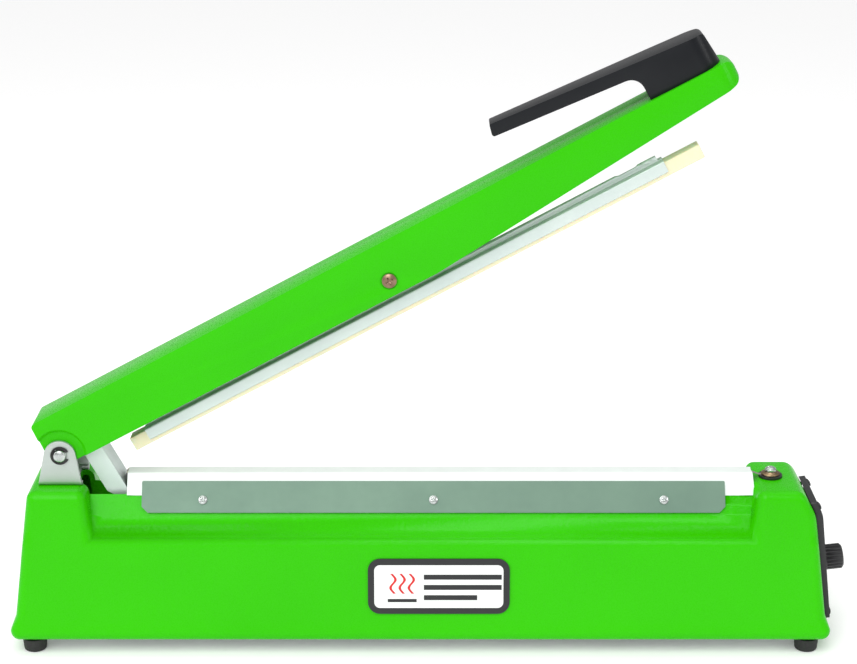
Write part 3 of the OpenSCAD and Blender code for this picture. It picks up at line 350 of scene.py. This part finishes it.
# %% Plastics and rubbers
def moulded(name, colour, rough=(0.32, 0.45), grain=1500.0, depth=0.00004, strength=0.35, dust=0.15,
            **sockets):
    material = new_material(name, **sockets)
    shader = shader_of(material)
    coords = object_coords(material)
    grains = noise(material, coords, grain, 2.0, 0.5)
    cloud = noise(material, coords, 45.0, 3.0)
    pale = tuple(min(1.0, c * (1 + dust) + 0.01 * dust) for c in colour)
    link(material, ramp(material, cloud, [(0.3, colour), (0.75, pale)]), shader.inputs["Base Color"])
    link(material, grey_ramp(material, grains, *rough), shader.inputs["Roughness"])
    link(material, bump(material, grains, depth, strength), shader.inputs["Normal"])
    return material


handle_plastic = moulded("handle_plastic", (0.004, 0.005, 0.007), (0.3, 0.4), Specular_IOR_Level=0.25)
panel_plastic = moulded("panel_plastic", (0.012, 0.012, 0.014), (0.4, 0.55))
knob_plastic = moulded("knob_plastic", (0.010, 0.010, 0.011), (0.3, 0.42))
foot_rubber = moulded("foot_rubber", (0.012, 0.012, 0.012), (0.65, 0.8), 900.0, 0.00008, 0.5, 0.6)
phenolic = moulded("phenolic_board", (0.02, 0.02, 0.022), (0.4, 0.55), 1100.0)
brown_board = moulded("brown_board", (0.16, 0.08, 0.035), (0.5, 0.65), 1100.0)
silicone = moulded("silicone", (0.80, 0.75, 0.52), (0.42, 0.55), 800.0, 0.00006, 0.4, 0.05,
                   Subsurface_Weight=0.25, Subsurface_Scale=0.004)
green_lens = moulded("green_lens", (0.02, 0.35, 0.06), (0.08, 0.14), 300.0, 0.00002, 0.2, 0.2,
                     Transmission_Weight=0.5, IOR=1.49)
red_lens = moulded("red_lens", (0.55, 0.02, 0.015), (0.08, 0.14), 300.0, 0.00002, 0.2, 0.2,
                   Transmission_Weight=0.5, IOR=1.49)
white_print = moulded("white_print", (0.82, 0.83, 0.82), (0.35, 0.5), 1500.0, 0.00002, 0.2, 0.03)
black_print = moulded("black_print", (0.012, 0.012, 0.014), (0.3, 0.42), 1500.0, 0.00002, 0.2, 0.05)
circuit_green = moulded("circuit_green", (0.01, 0.12, 0.04), (0.2, 0.35), 600.0, 0.00003, 0.3)
relay_blue = moulded("relay_blue", (0.02, 0.05, 0.22), (0.3, 0.45))
capacitor_sleeve = moulded("capacitor_sleeve", (0.01, 0.015, 0.09), (0.15, 0.25))

# %% [markdown]
# The winding is enamelled copper wire in close layers, and the core is a stack of thin steel
# sheets. A wave texture draws the turns and the sheets; its bump makes each one round. At a
# scale of 1 the texture has a little over three bands to the metre.

# %% Wound wire and stacked sheets
BANDS = 3.183


def striped(name, light, dark, axis, pitch, metallic, rough):
    material = new_material(name, Metallic=metallic, Roughness=rough)
    shader = shader_of(material)
    wave = add_node(material, "ShaderNodeTexWave", wave_type="BANDS", bands_direction=axis)
    wave.inputs["Scale"].default_value = 1.0 / pitch / BANDS
    wave.inputs["Distortion"].default_value = 0.4
    link(material, object_coords(material), wave.inputs["Vector"])
    colour = ramp(material, wave.outputs["Fac"], [(0.05, dark), (0.6, light)])
    link(material, colour, shader.inputs["Base Color"])
    link(material, bump(material, wave.outputs["Fac"], 0.0002, 0.7), shader.inputs["Normal"])
    return material


copper_winding = striped("copper_winding", (0.5, 0.2, 0.06), (0.16, 0.05, 0.02), "Z", 0.0009, 0.7, 0.3)
core_sheets = striped("core_sheets", (0.2, 0.2, 0.21), (0.05, 0.05, 0.055), "Y", 0.0008, 0.8, 0.45)
glass_tape = striped("glass_tape", (0.75, 0.72, 0.6), (0.55, 0.52, 0.42), "X", 0.0012, 0.0, 0.8)

# %% [markdown]
# The non-stick sheet is glass cloth coated with PTFE. Close up, the weave shows through the
# coating as a fine grid, and the surface has a waxy sheen. Two crossed waves give the weave.

# %% Coated glass cloth
def coated_cloth(name, colour, thread):
    material = new_material(name, Sheen_Weight=0.25, Sheen_Roughness=0.4,
                            Coat_Weight=0.15, Coat_Roughness=0.35)
    shader = shader_of(material)
    coords = object_coords(material)
    heights = []
    for axis in ("X", "Y"):
        wave = add_node(material, "ShaderNodeTexWave", wave_type="BANDS", bands_direction=axis)
        wave.inputs["Scale"].default_value = 1.0 / thread / BANDS
        wave.inputs["Distortion"].default_value = 0.6
        wave.inputs["Detail Scale"].default_value = 2.0
        link(material, coords, wave.inputs["Vector"])
        heights.append(wave.outputs["Fac"])
    weave = add_node(material, "ShaderNodeMath", operation="MAXIMUM")
    link(material, heights[0], weave.inputs[0])
    link(material, heights[1], weave.inputs[1])
    cloud = noise(material, coords, 60.0, 3.0)
    tint = tuple(c * 0.94 for c in colour)
    link(material, ramp(material, cloud, [(0.3, tint), (0.7, colour)]), shader.inputs["Base Color"])
    link(material, grey_ramp(material, weave.outputs[0], 0.42, 0.3, 0.0, 1.0), shader.inputs["Roughness"])
    link(material, bump(material, weave.outputs[0], 0.00004, 0.4), shader.inputs["Normal"])
    return material


ptfe = coated_cloth("coated_glass_cloth", (0.80, 0.86, 0.83), 0.0006)

# %% [markdown]
# Now the CAD nodes get their finishes. Painted and moulded pieces are polished copies with
# broken edges; small turned parts only need smooth shading.

# %% Painted castings
housing = polish("base_housing", "base", green_enamel, crease=38)
arm = polish("arm_shell", "arm", green_enamel, bevel=0.0008, crease=34, segments=3)
print("arm skin:", len(arm.data.polygons), "faces")

# %% Moulded parts
polish("handle", "arm", handle_plastic, bevel=0.0008, crease=30, segments=3)
panel = polish("control_panel", "base", panel_plastic, bevel=0.0006, crease=34)
polish("timer_knob", "timer_knob", knob_plastic, crease=40)
for corner in ("front_left", "front_right", "rear_left", "rear_right"):
    polish("foot_" + corner, "base", foot_rubber, crease=40)
polish("cord_grommet", "base", foot_rubber, crease=40)

# %% Sheet metal
polish("hinge_bracket", "base", zinc_sheet, bevel=0.0003, crease=34)
polish("spring_bracket", "arm", bar_sheet, bevel=0.0003, crease=34)
polish("press_bar", "press_bar", bar_sheet, crease=34)
for side in ("front", "rear"):
    polish("press_plate_" + side, "base", stainless, crease=8)
polish("bottom_plate", "base", zinc_sheet, crease=34)

# %% Turned parts and screws
TURNED = {
    "hinge_pin": ("base", bright_zinc), "hinge_clips": ("base", black_steel),
    "hinge_bracket_screws": ("base", bright_zinc), "foot_screws": ("base", bright_zinc),
    "rail_screws": ("base", bright_zinc), "press_plate_screws": ("base", bright_zinc),
    "terminal_screw": ("base", bright_zinc), "terminal_washer": ("base", brass),
    "terminal_bush": ("base", phenolic), "terminal_nut": ("base", brass),
    "tail_screw": ("base", bright_zinc), "panel_screws": ("base", black_steel),
    "transformer_screws": ("base", bright_zinc), "switch_screws": ("base", bright_zinc),
    "timer_potentiometer": ("base", bright_zinc), "potentiometer_nut": ("base", bright_zinc),
    "power_lamp": ("base", green_lens), "sealing_lamp": ("base", red_lens),
    "board_capacitor": ("base", capacitor_sleeve), "handle_screws": ("arm", bright_zinc),
    "spring_bracket_screws": ("arm", bright_zinc), "pivot_screw": ("arm", bronze),
    "pivot_spacers": ("arm", bright_zinc), "pivot_nut": ("arm", bright_zinc),
    "switch_lever": ("switch_lever", bright_zinc),
}
for node, (body, material) in TURNED.items():
    polish(node, body, material)
print("turned parts:", len(TURNED))

# %% Flat-sided parts keep their CAD mesh
for node, material in {
    "seal_rail": phenolic, "glass_tape": glass_tape, "heating_element": element_strip,
    "tail_block": brown_board, "timer_board": circuit_green, "board_relay": relay_blue,
    "transformer_core": core_sheets, "transformer_winding": copper_winding,
    "transformer_frame": zinc_sheet, "micro_switch": black_print, "switch_bracket": zinc_sheet,
    "badge_plate": black_print, "badge_face": white_print, "spring_anchor": zinc_sheet,
}.items():
    dress(frame["nodes"][node], material)

# %% [markdown]
# The real control block does not rise straight. Its end wall leans inwards more from about
# five sixths of its height, and the plate of the panel is bent to follow it. The plate also sits
# a little higher than in the frame. The casting's rim reaches below the floor plate and hides
# its edge.

# %% Bent end wall, panel and rim
base_low, base_high = (Vector(corner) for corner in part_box("base_housing"))
BEND_Z, BEND, SOFT = 0.094, math.tan(math.radians(22)), 0.004
BLEND_FROM, BLEND_TO = base_high.x - 0.045, base_high.x - 0.02
RIM_DROP, WALL = 0.0018, 0.0036
PANEL_LEAN, PANEL_LIFT = math.radians(6.7), 0.0054
PANEL_HEAD = (0.075, 0.085)
PANEL_FOOT = (-0.03, -0.02)
level_cuts = [(Vector((0, 0, BEND_Z + step)), Vector((0, 0, 1)))
              for step in (-0.004, -0.002, 0, 0.002, 0.004)]
upright_cuts = [(Vector((base_high.x - inset, 0, 0)), Vector((1, 0, 0)))
                for inset in (0.024, 0.029, 0.034, 0.039, 0.045)]


def bent(co):
    """The point after the bend: the wall leans in more from the bend's height upwards."""
    rise = co.z - BEND_Z
    if rise <= -SOFT:
        return co
    turn = rise if rise > SOFT else (rise + SOFT) ** 2 / (4 * SOFT)
    return Vector((co.x - turn * BEND * ease(co.x, BLEND_FROM, BLEND_TO), co.y, co.z))


def lowered_rim(co):
    """The rim's lowest points go down; every other point follows the bend."""
    inset = min(co.x - base_low.x, base_high.x - co.x, co.y - base_low.y, base_high.y - co.y)
    if co.z < base_low.z + 0.0002 and inset < WALL:
        return Vector((co.x, co.y, co.z - RIM_DROP))
    return bent(co)


def raised(co):
    """The panel's head and foot slide up along the wall; its middle stays with the knob."""
    way = Vector((-math.sin(PANEL_LEAN), 0, math.cos(PANEL_LEAN)))
    return co + way * PANEL_LIFT * max(ease(co.z, *PANEL_HEAD), ease(-co.z, *PANEL_FOOT))


def inset_plate(co):
    """The floor plate shrinks to lie inside the rim."""
    middle = (base_low + base_high) / 2
    keep_x = 1 - 2 * WALL / (base_high.x - base_low.x)
    keep_y = 1 - 2 * WALL / (base_high.y - base_low.y)
    return Vector((middle.x + (co.x - middle.x) * keep_x, middle.y + (co.y - middle.y) * keep_y, co.z))


reshape(housing, lowered_rim, level_cuts + upright_cuts)
reshape(panel, raised, crease=34)
reshape(panel, bent, level_cuts, 34)
screws = bpy.data.objects["panel_screws_skin"]
reshape(screws, raised, crease=32)
for piece in (screws, bpy.data.objects["power_lamp_skin"], bpy.data.objects["sealing_lamp_skin"]):
    reshape(piece, bent, crease=32)
reshape(bpy.data.objects["bottom_plate_skin"], inset_plate, crease=34)
print("end wall bends from", round(BEND_Z * 1000), "mm up")

# %% [markdown]
# The silicone strip is extruded rubber, pushed into the press bar's channel. It starts as a
# cube of the strip's size, drawn level and turned to the arm's angle at the end. Its working
# edges are slightly rounded, and along its length it is never perfectly straight.

# %% Silicone strip
joints = {joint["name"]: joint for joint in frame["joints"]}
hinge = Vector(joints["arm"]["pos_m"])
pivot = Vector(joints["press_bar"]["pos_m"])
PIVOT_U, PIVOT_W = 0.246, 0.002
OPEN = math.atan2(pivot.z - hinge.z, pivot.x - hinge.x) - math.atan2(PIVOT_W, PIVOT_U)


def onto_arm(piece):
    piece.data.transform(Matrix.Translation(hinge) @ Matrix.Rotation(-OPEN, 4, "Y"))
    piece.data.update()


def box_primitive(name, low, high):
    deselect()
    low, high = Vector(low), Vector(high)
    bpy.ops.mesh.primitive_cube_add(size=1, location=(low + high) / 2)
    piece = bpy.context.active_object
    piece.name = name
    piece.scale = high - low
    bake_place(piece)
    return piece


def bevel_edges(piece, width, segments=3, degrees=40):
    edge = piece.modifiers.new("edge", "BEVEL")
    edge.width = width
    edge.segments = segments
    edge.limit_method = "ANGLE"
    edge.angle_limit = math.radians(degrees)
    apply_modifiers(piece)


STRIP_START, STRIP_L, STRIP_W, STRIP_H, STRIP_FACE = 0.0423, 0.416, 0.012, 0.0094, -0.024
CUTS = 60
SAG, WANDER = 0.00008, 0.00006
strip = box_primitive("silicone_seal", (STRIP_START, -STRIP_W / 2, STRIP_FACE),
                      (STRIP_START + STRIP_L, STRIP_W / 2, STRIP_FACE + STRIP_H))
select_only(strip)
bpy.ops.object.mode_set(mode="EDIT")
for i in range(1, CUTS):
    bpy.ops.mesh.select_all(action="SELECT")
    bpy.ops.mesh.bisect(plane_co=(STRIP_START + STRIP_L * i / CUTS, 0, 0), plane_no=(1, 0, 0))
bpy.ops.object.mode_set(mode="OBJECT")
for vert in strip.data.vertices:
    along = (vert.co.x - STRIP_START) / STRIP_L
    if vert.co.z < STRIP_FACE + STRIP_H / 2:
        vert.co.z += SAG * math.sin(along * 21) + WANDER * math.sin(along * 47)
        vert.co.y += WANDER * math.sin(along * 29)
bevel_edges(strip, 0.0007)
smooth(strip, 30)
onto_arm(strip)
dress(strip, silicone)
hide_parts("silicone_strip")
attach(strip, "press_bar")
print("strip faces:", len(strip.data.polygons))

# %% [markdown]
# The non-stick sheet lies over the element and is clamped under both press plates. It is cut
# from flat cloth, so it is modelled as one flat grid and wrapped round the rail and the ridge.
# A column of the grid keeps its place along the machine, but for a slanted cut at the control
# end. A row keeps its distance from the middle of the cloth, measured round the folds, so the
# cloth bends and doesn't stretch. The folds are arcs, and the free corners past the press
# plates lift a little.

# %% Non-stick sheet
sheet_low, sheet_high = (Vector(corner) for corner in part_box("nonstick_sheet"))
rail_low, rail_high = (Vector(corner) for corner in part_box("seal_rail"))
plate_low, plate_high = (Vector(corner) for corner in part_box("press_plate_front"))
CLOTH = 0.0003
FOLD_R = 0.0012
LEAN = math.radians(29)
HEM_SHARE = 0.4
CORNER_LIFT, RIPPLE, SLANT = 0.0012, 0.00003, 0.0016


def cloth_corners():
    """Corners of the sheet's rear half, seen along the machine, from the middle outwards."""
    top = sheet_high.z - CLOTH / 2
    edge = Vector((rail_high.y + 0.0003, top))
    root = Vector((0.0089, rail_low.z + 0.0001))
    hem_z = sheet_low.z + CLOTH
    hem = Vector((root.x + (root.y - hem_z) * math.tan(LEAN), hem_z))
    return [Vector((0, top)), edge, root, hem]


def folded(corners, radius, steps=6):
    """The path through the corners with each fold turned into an arc."""
    path = [corners[0]]
    for before, at, after in zip(corners, corners[1:], corners[2:]):
        into, out = (before - at).normalized(), (after - at).normalized()
        half = into.angle(out) / 2
        reach = radius / math.tan(half)
        centre = at + (into + out).normalized() * radius / math.sin(half)
        first, last = at + into * reach, at + out * reach
        for i in range(steps + 1):
            spoke = first.lerp(last, i / steps) - centre
            path.append(centre + spoke.normalized() * radius)
    return path + [corners[-1]]


def along_path(path, distance):
    """The point at that distance along the path, and the direction out of the cloth there."""
    for here, there in zip(path, path[1:]):
        step = (there - here).length
        if distance <= step or there is path[-1]:
            way = (there - here).normalized()
            return here + way * min(distance, step), Vector((-way.y, way.x))
        distance -= step


half_path = folded(cloth_corners(), FOLD_R)
half_width = sum((b - a).length for a, b in zip(half_path, half_path[1:]))
sheet_l = sheet_high.x - sheet_low.x
deselect()
bpy.ops.mesh.primitive_grid_add(x_subdivisions=140, y_subdivisions=56, size=1, location=(0, 0, 0))
cloth = bpy.context.active_object
cloth.name = "nonstick_cloth"
for vert in cloth.data.vertices:
    x = (sheet_low.x + sheet_high.x) / 2 + vert.co.x * sheet_l
    across = abs(vert.co.y) * 2 * half_width
    point, outward = along_path(half_path, across)
    side = 1 if vert.co.y > 0 else -1
    outward = outward if outward.y > 0 or outward.x > 0 else -outward
    hem = max(0.0, across / half_width - 1 + HEM_SHARE) / HEM_SHARE
    past_control_end = (x - plate_high.x) / (sheet_high.x - plate_high.x)
    past_hinge_end = (plate_low.x - x) / (plate_low.x - sheet_low.x)
    free = max(0.0, past_control_end, past_hinge_end)
    lift = CORNER_LIFT * hem * hem * free ** 1.5 + RIPPLE * math.sin(x * 190 + side) * hem
    slant = -SLANT * (1 - across / half_width) * max(0.0, past_control_end)
    vert.co = (x + slant, side * (point.x + outward.x * lift), point.y + outward.y * lift)
fabric = cloth.modifiers.new("thickness", "SOLIDIFY")
fabric.thickness = CLOTH * 0.6
fabric.offset = 0
apply_modifiers(cloth)
smooth(cloth, 60)
dress(cloth, ptfe)
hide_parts("nonstick_sheet")
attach(cloth, "base")
print("sheet cut:", round(2000 * half_width, 1), "by", round(1000 * sheet_l, 1), "mm")

# %% [markdown]
# The return spring is wound from hard wire. A curve follows the axis between its two hooks,
# and its turns are a helix worked out by a loop. One end hangs on the arm's bracket and the
# other on the base.

# %% Return spring
spring_low, spring_high = (Vector(corner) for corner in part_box("return_spring"))
WIRE_R, COIL_R, TURNS, TURN_STEPS = 0.0004, 0.0024, 34, 14
START_IN, START_DOWN = 0.0055, 0.0048
FINISH_IN, FINISH_UP = 0.0066, 0.0046
start = Vector((spring_low.x + START_IN, 0, spring_high.z - START_DOWN))
finish = Vector((spring_high.x - FINISH_IN, 0, spring_low.z + FINISH_UP))
axis = (finish - start).normalized()
side_way = Vector((0, 1, 0))
up_way = axis.cross(side_way)
points = [Vector((spring_low.x + 0.0004, 0, start.z + 0.0008)), start]
for i in range(TURNS * TURN_STEPS + 1):
    share = i / (TURNS * TURN_STEPS)
    turn = math.tau * TURNS * share
    taper = min(1.0, 12 * share, 12 * (1 - share))
    spoke = math.cos(turn) * side_way + math.sin(turn) * up_way
    points.append(start.lerp(finish, share) + COIL_R * taper * spoke)
points += [finish, finish + Vector((0.0062, 0, 0))]
wire = bpy.data.curves.new("return_spring_wire", "CURVE")
wire.dimensions = "3D"
wire.bevel_depth = WIRE_R
wire.bevel_resolution = 2
wire.use_fill_caps = True
spline = wire.splines.new("POLY")
spline.points.add(len(points) - 1)
for knot, point in zip(spline.points, points):
    knot.co = (*point, 1)
spring = bpy.data.objects.new("return_spring_wire", wire)
bpy.context.collection.objects.link(spring)
select_only(spring)
bpy.ops.object.convert(target="MESH")
spring = bpy.context.active_object
smooth(spring, 60)
dress(spring, bright_zinc)
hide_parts("return_spring")
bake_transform(spring)
print("spring faces:", len(spring.data.polygons))

# %% [markdown]
# The badge is a printed foil. A heat symbol stands for what the machine does: three rising
# waves over the line of a seal. Each wave is one thin strip, bent by a sine in its mesh.

# %% Badge print
badge_low, badge_high = (Vector(corner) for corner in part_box("badge_face"))
SIDE_LEAN = math.radians(6.1)
FOIL_LIFT, FOIL = 0.00017, 0.00006
badge_mid = (badge_low + badge_high) / 2
badge_out = Vector((0, -math.cos(SIDE_LEAN), math.sin(SIDE_LEAN)))
badge_up = Vector((0, math.sin(SIDE_LEAN), math.cos(SIDE_LEAN)))
red_print = moulded("red_print", (0.62, 0.012, 0.015), (0.3, 0.42), 1500.0, 0.00002, 0.2, 0.05)


def printed(name, half_l, half_h, shape, material):
    """A thin printed patch on the badge; shape moves each of its points in the badge's plane."""
    deselect()
    bpy.ops.mesh.primitive_grid_add(x_subdivisions=48, y_subdivisions=2, size=2, location=(0, 0, 0))
    patch = bpy.context.active_object
    patch.name = name
    for vert in patch.data.vertices:
        along, up = shape(vert.co.x * half_l, vert.co.y * half_h)
        vert.co = badge_mid + Vector((along, 0, 0)) + badge_up * up + badge_out * FOIL_LIFT
    foil = patch.modifiers.new("foil", "SOLIDIFY")
    foil.thickness = FOIL
    foil.offset = 0
    apply_modifiers(patch)
    dress(patch, material)
    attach(patch, "base")
    return patch


def rising_wave(at):
    """A wave that runs upwards at that place along the badge."""
    return lambda along, up: (at + up + 0.0016 * math.sin(along * 560), along + 0.002)


for number, at in enumerate((-0.030, -0.024, -0.018)):
    printed(f"badge_wave_{number}", 0.0068, 0.00085, rising_wave(at), red_print)
printed("badge_heat_bar", 0.0095, 0.0011, lambda along, up: (along - 0.024, up - 0.0095), black_print)
for number, (at, half_l) in enumerate(((0.0065, 0.0255), (-0.0005, 0.0255), (-0.0075, 0.0175))):
    printed(f"badge_rule_{number}", half_l, 0.0017,
            lambda along, up, at=at, half_l=half_l: (along + half_l - 0.0098, up + at), black_print)
print("badge print done")

# %% [markdown]
# A printed scale runs round the timer knob: ticks every 30 degrees over its travel, with a
# number at every other tick. Each tick is a small flat grid laid out round the shaft.

# %% Dial scale
knob_axis = Vector(joints["timer_knob"]["axis"]).normalized()
knob_at = Vector(joints["timer_knob"]["pos_m"])
PANEL_T = 0.0045
dial_centre = knob_at + knob_axis * (PANEL_T + 0.00004)
dial_up = (Vector((0, 0, 1)) - knob_axis * knob_axis.z).normalized()
dial_right = dial_up.cross(knob_axis)
TICKS, FIRST, TRAVEL = 10, 225, 270


def on_dial(radius, degrees):
    turn = math.radians(degrees)
    spoke = dial_right * math.cos(turn) + dial_up * math.sin(turn)
    return dial_centre + spoke * radius


ticks = []
for i in range(TICKS):
    degrees = FIRST - TRAVEL * i / (TICKS - 1)
    long_tick = i % 2 == 0
    deselect()
    bpy.ops.mesh.primitive_grid_add(x_subdivisions=6, y_subdivisions=2, size=2, location=(0, 0, 0))
    tick = bpy.context.active_object
    for vert in tick.data.vertices:
        radius = 0.0113 + (0.0014 if long_tick else 0.0009) * (vert.co.x + 1)
        width = 0.00026 * (1.2 - 0.2 * vert.co.x)
        vert.co = on_dial(radius, degrees + math.degrees(width * vert.co.y / radius))
    ticks.append(tick)
    if long_tick:
        deselect()
        bpy.ops.object.text_add(location=(0, 0, 0))
        figure = bpy.context.active_object
        figure.data.body = str(i // 2 * 2)
        figure.data.size = 0.0042
        figure.data.align_x = "CENTER"
        figure.data.align_y = "CENTER"
        bpy.ops.object.convert(target="MESH")
        figure = bpy.context.active_object
        spot = on_dial(0.0171, degrees)
        for vert in figure.data.vertices:
            vert.co = spot + dial_right * vert.co.x + dial_up * vert.co.y
        ticks.append(figure)
scale_print = join(ticks, "dial_scale")
ink = scale_print.modifiers.new("ink", "SOLIDIFY")
ink.thickness = 0.00005
ink.offset = 0
apply_modifiers(scale_print)
dress(scale_print, white_print)
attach(scale_print, "base")
print("dial faces:", len(scale_print.data.polygons))

# %% [markdown]
# Stage: a wide pale floor under a white sky, a soft sun and four broad lights. A large light
# above gives the tops their brightness, a wide one in front fills the faces, and a narrow one
# at each side draws the highlights along the edges. A faint glow keeps the floor white.

# %% Stage and lights
deselect()
bpy.ops.mesh.primitive_plane_add(size=1, location=(0, 0.9, 0))
floor = bpy.context.active_object
floor.name = "floor"
floor.scale = (16, 16, 1)
bake_place(floor)
floor_paint = new_material("floor_paint", Base_Color=(0.96, 0.96, 0.96, 1), Roughness=0.85,
                           Emission_Color=(1, 1, 1, 1), Emission_Strength=0.1)
dress(floor, floor_paint)

world = bpy.data.worlds.new("studio")
world.use_nodes = True
world.node_tree.nodes["Background"].inputs["Color"].default_value = (1, 1, 1, 1)
world.node_tree.nodes["Background"].inputs["Strength"].default_value = 0.5
bpy.context.scene.world = world


def soft_light(name, place, aim, size, watts):
    data = bpy.data.lights.new(name, "AREA")
    data.shape = "RECTANGLE"
    data.size, data.size_y = size
    data.energy = watts
    light = bpy.data.objects.new(name, data)
    light.location = place
    light.rotation_euler = (Vector(aim) - Vector(place)).to_track_quat("-Z", "Y").to_euler()
    bpy.context.collection.objects.link(light)
    return light


sun = bpy.data.lights.new("soft_sun", "SUN")
sun.energy = 1.5
sun.angle = math.radians(40)
sun_lamp = bpy.data.objects.new("soft_sun", sun)
sun_lamp.rotation_euler = (math.radians(38), math.radians(-14), 0)
bpy.context.collection.objects.link(sun_lamp)
soft_light("top_light", (0.0, 0.3, 1.7), (0, 0, 0.15), (2.0, 1.2), 8)
soft_light("front_light", (-0.5, -1.9, 1.0), (0, 0, 0.12), (1.4, 0.8), 7)
soft_light("right_edge_light", (1.4, -0.6, 0.9), (0.1, 0, 0.15), (0.35, 1.0), 4)
soft_light("left_edge_light", (-1.4, -0.5, 0.8), (-0.1, 0, 0.15), (0.35, 1.0), 4)
bpy.context.scene.view_settings.view_transform = "Standard"
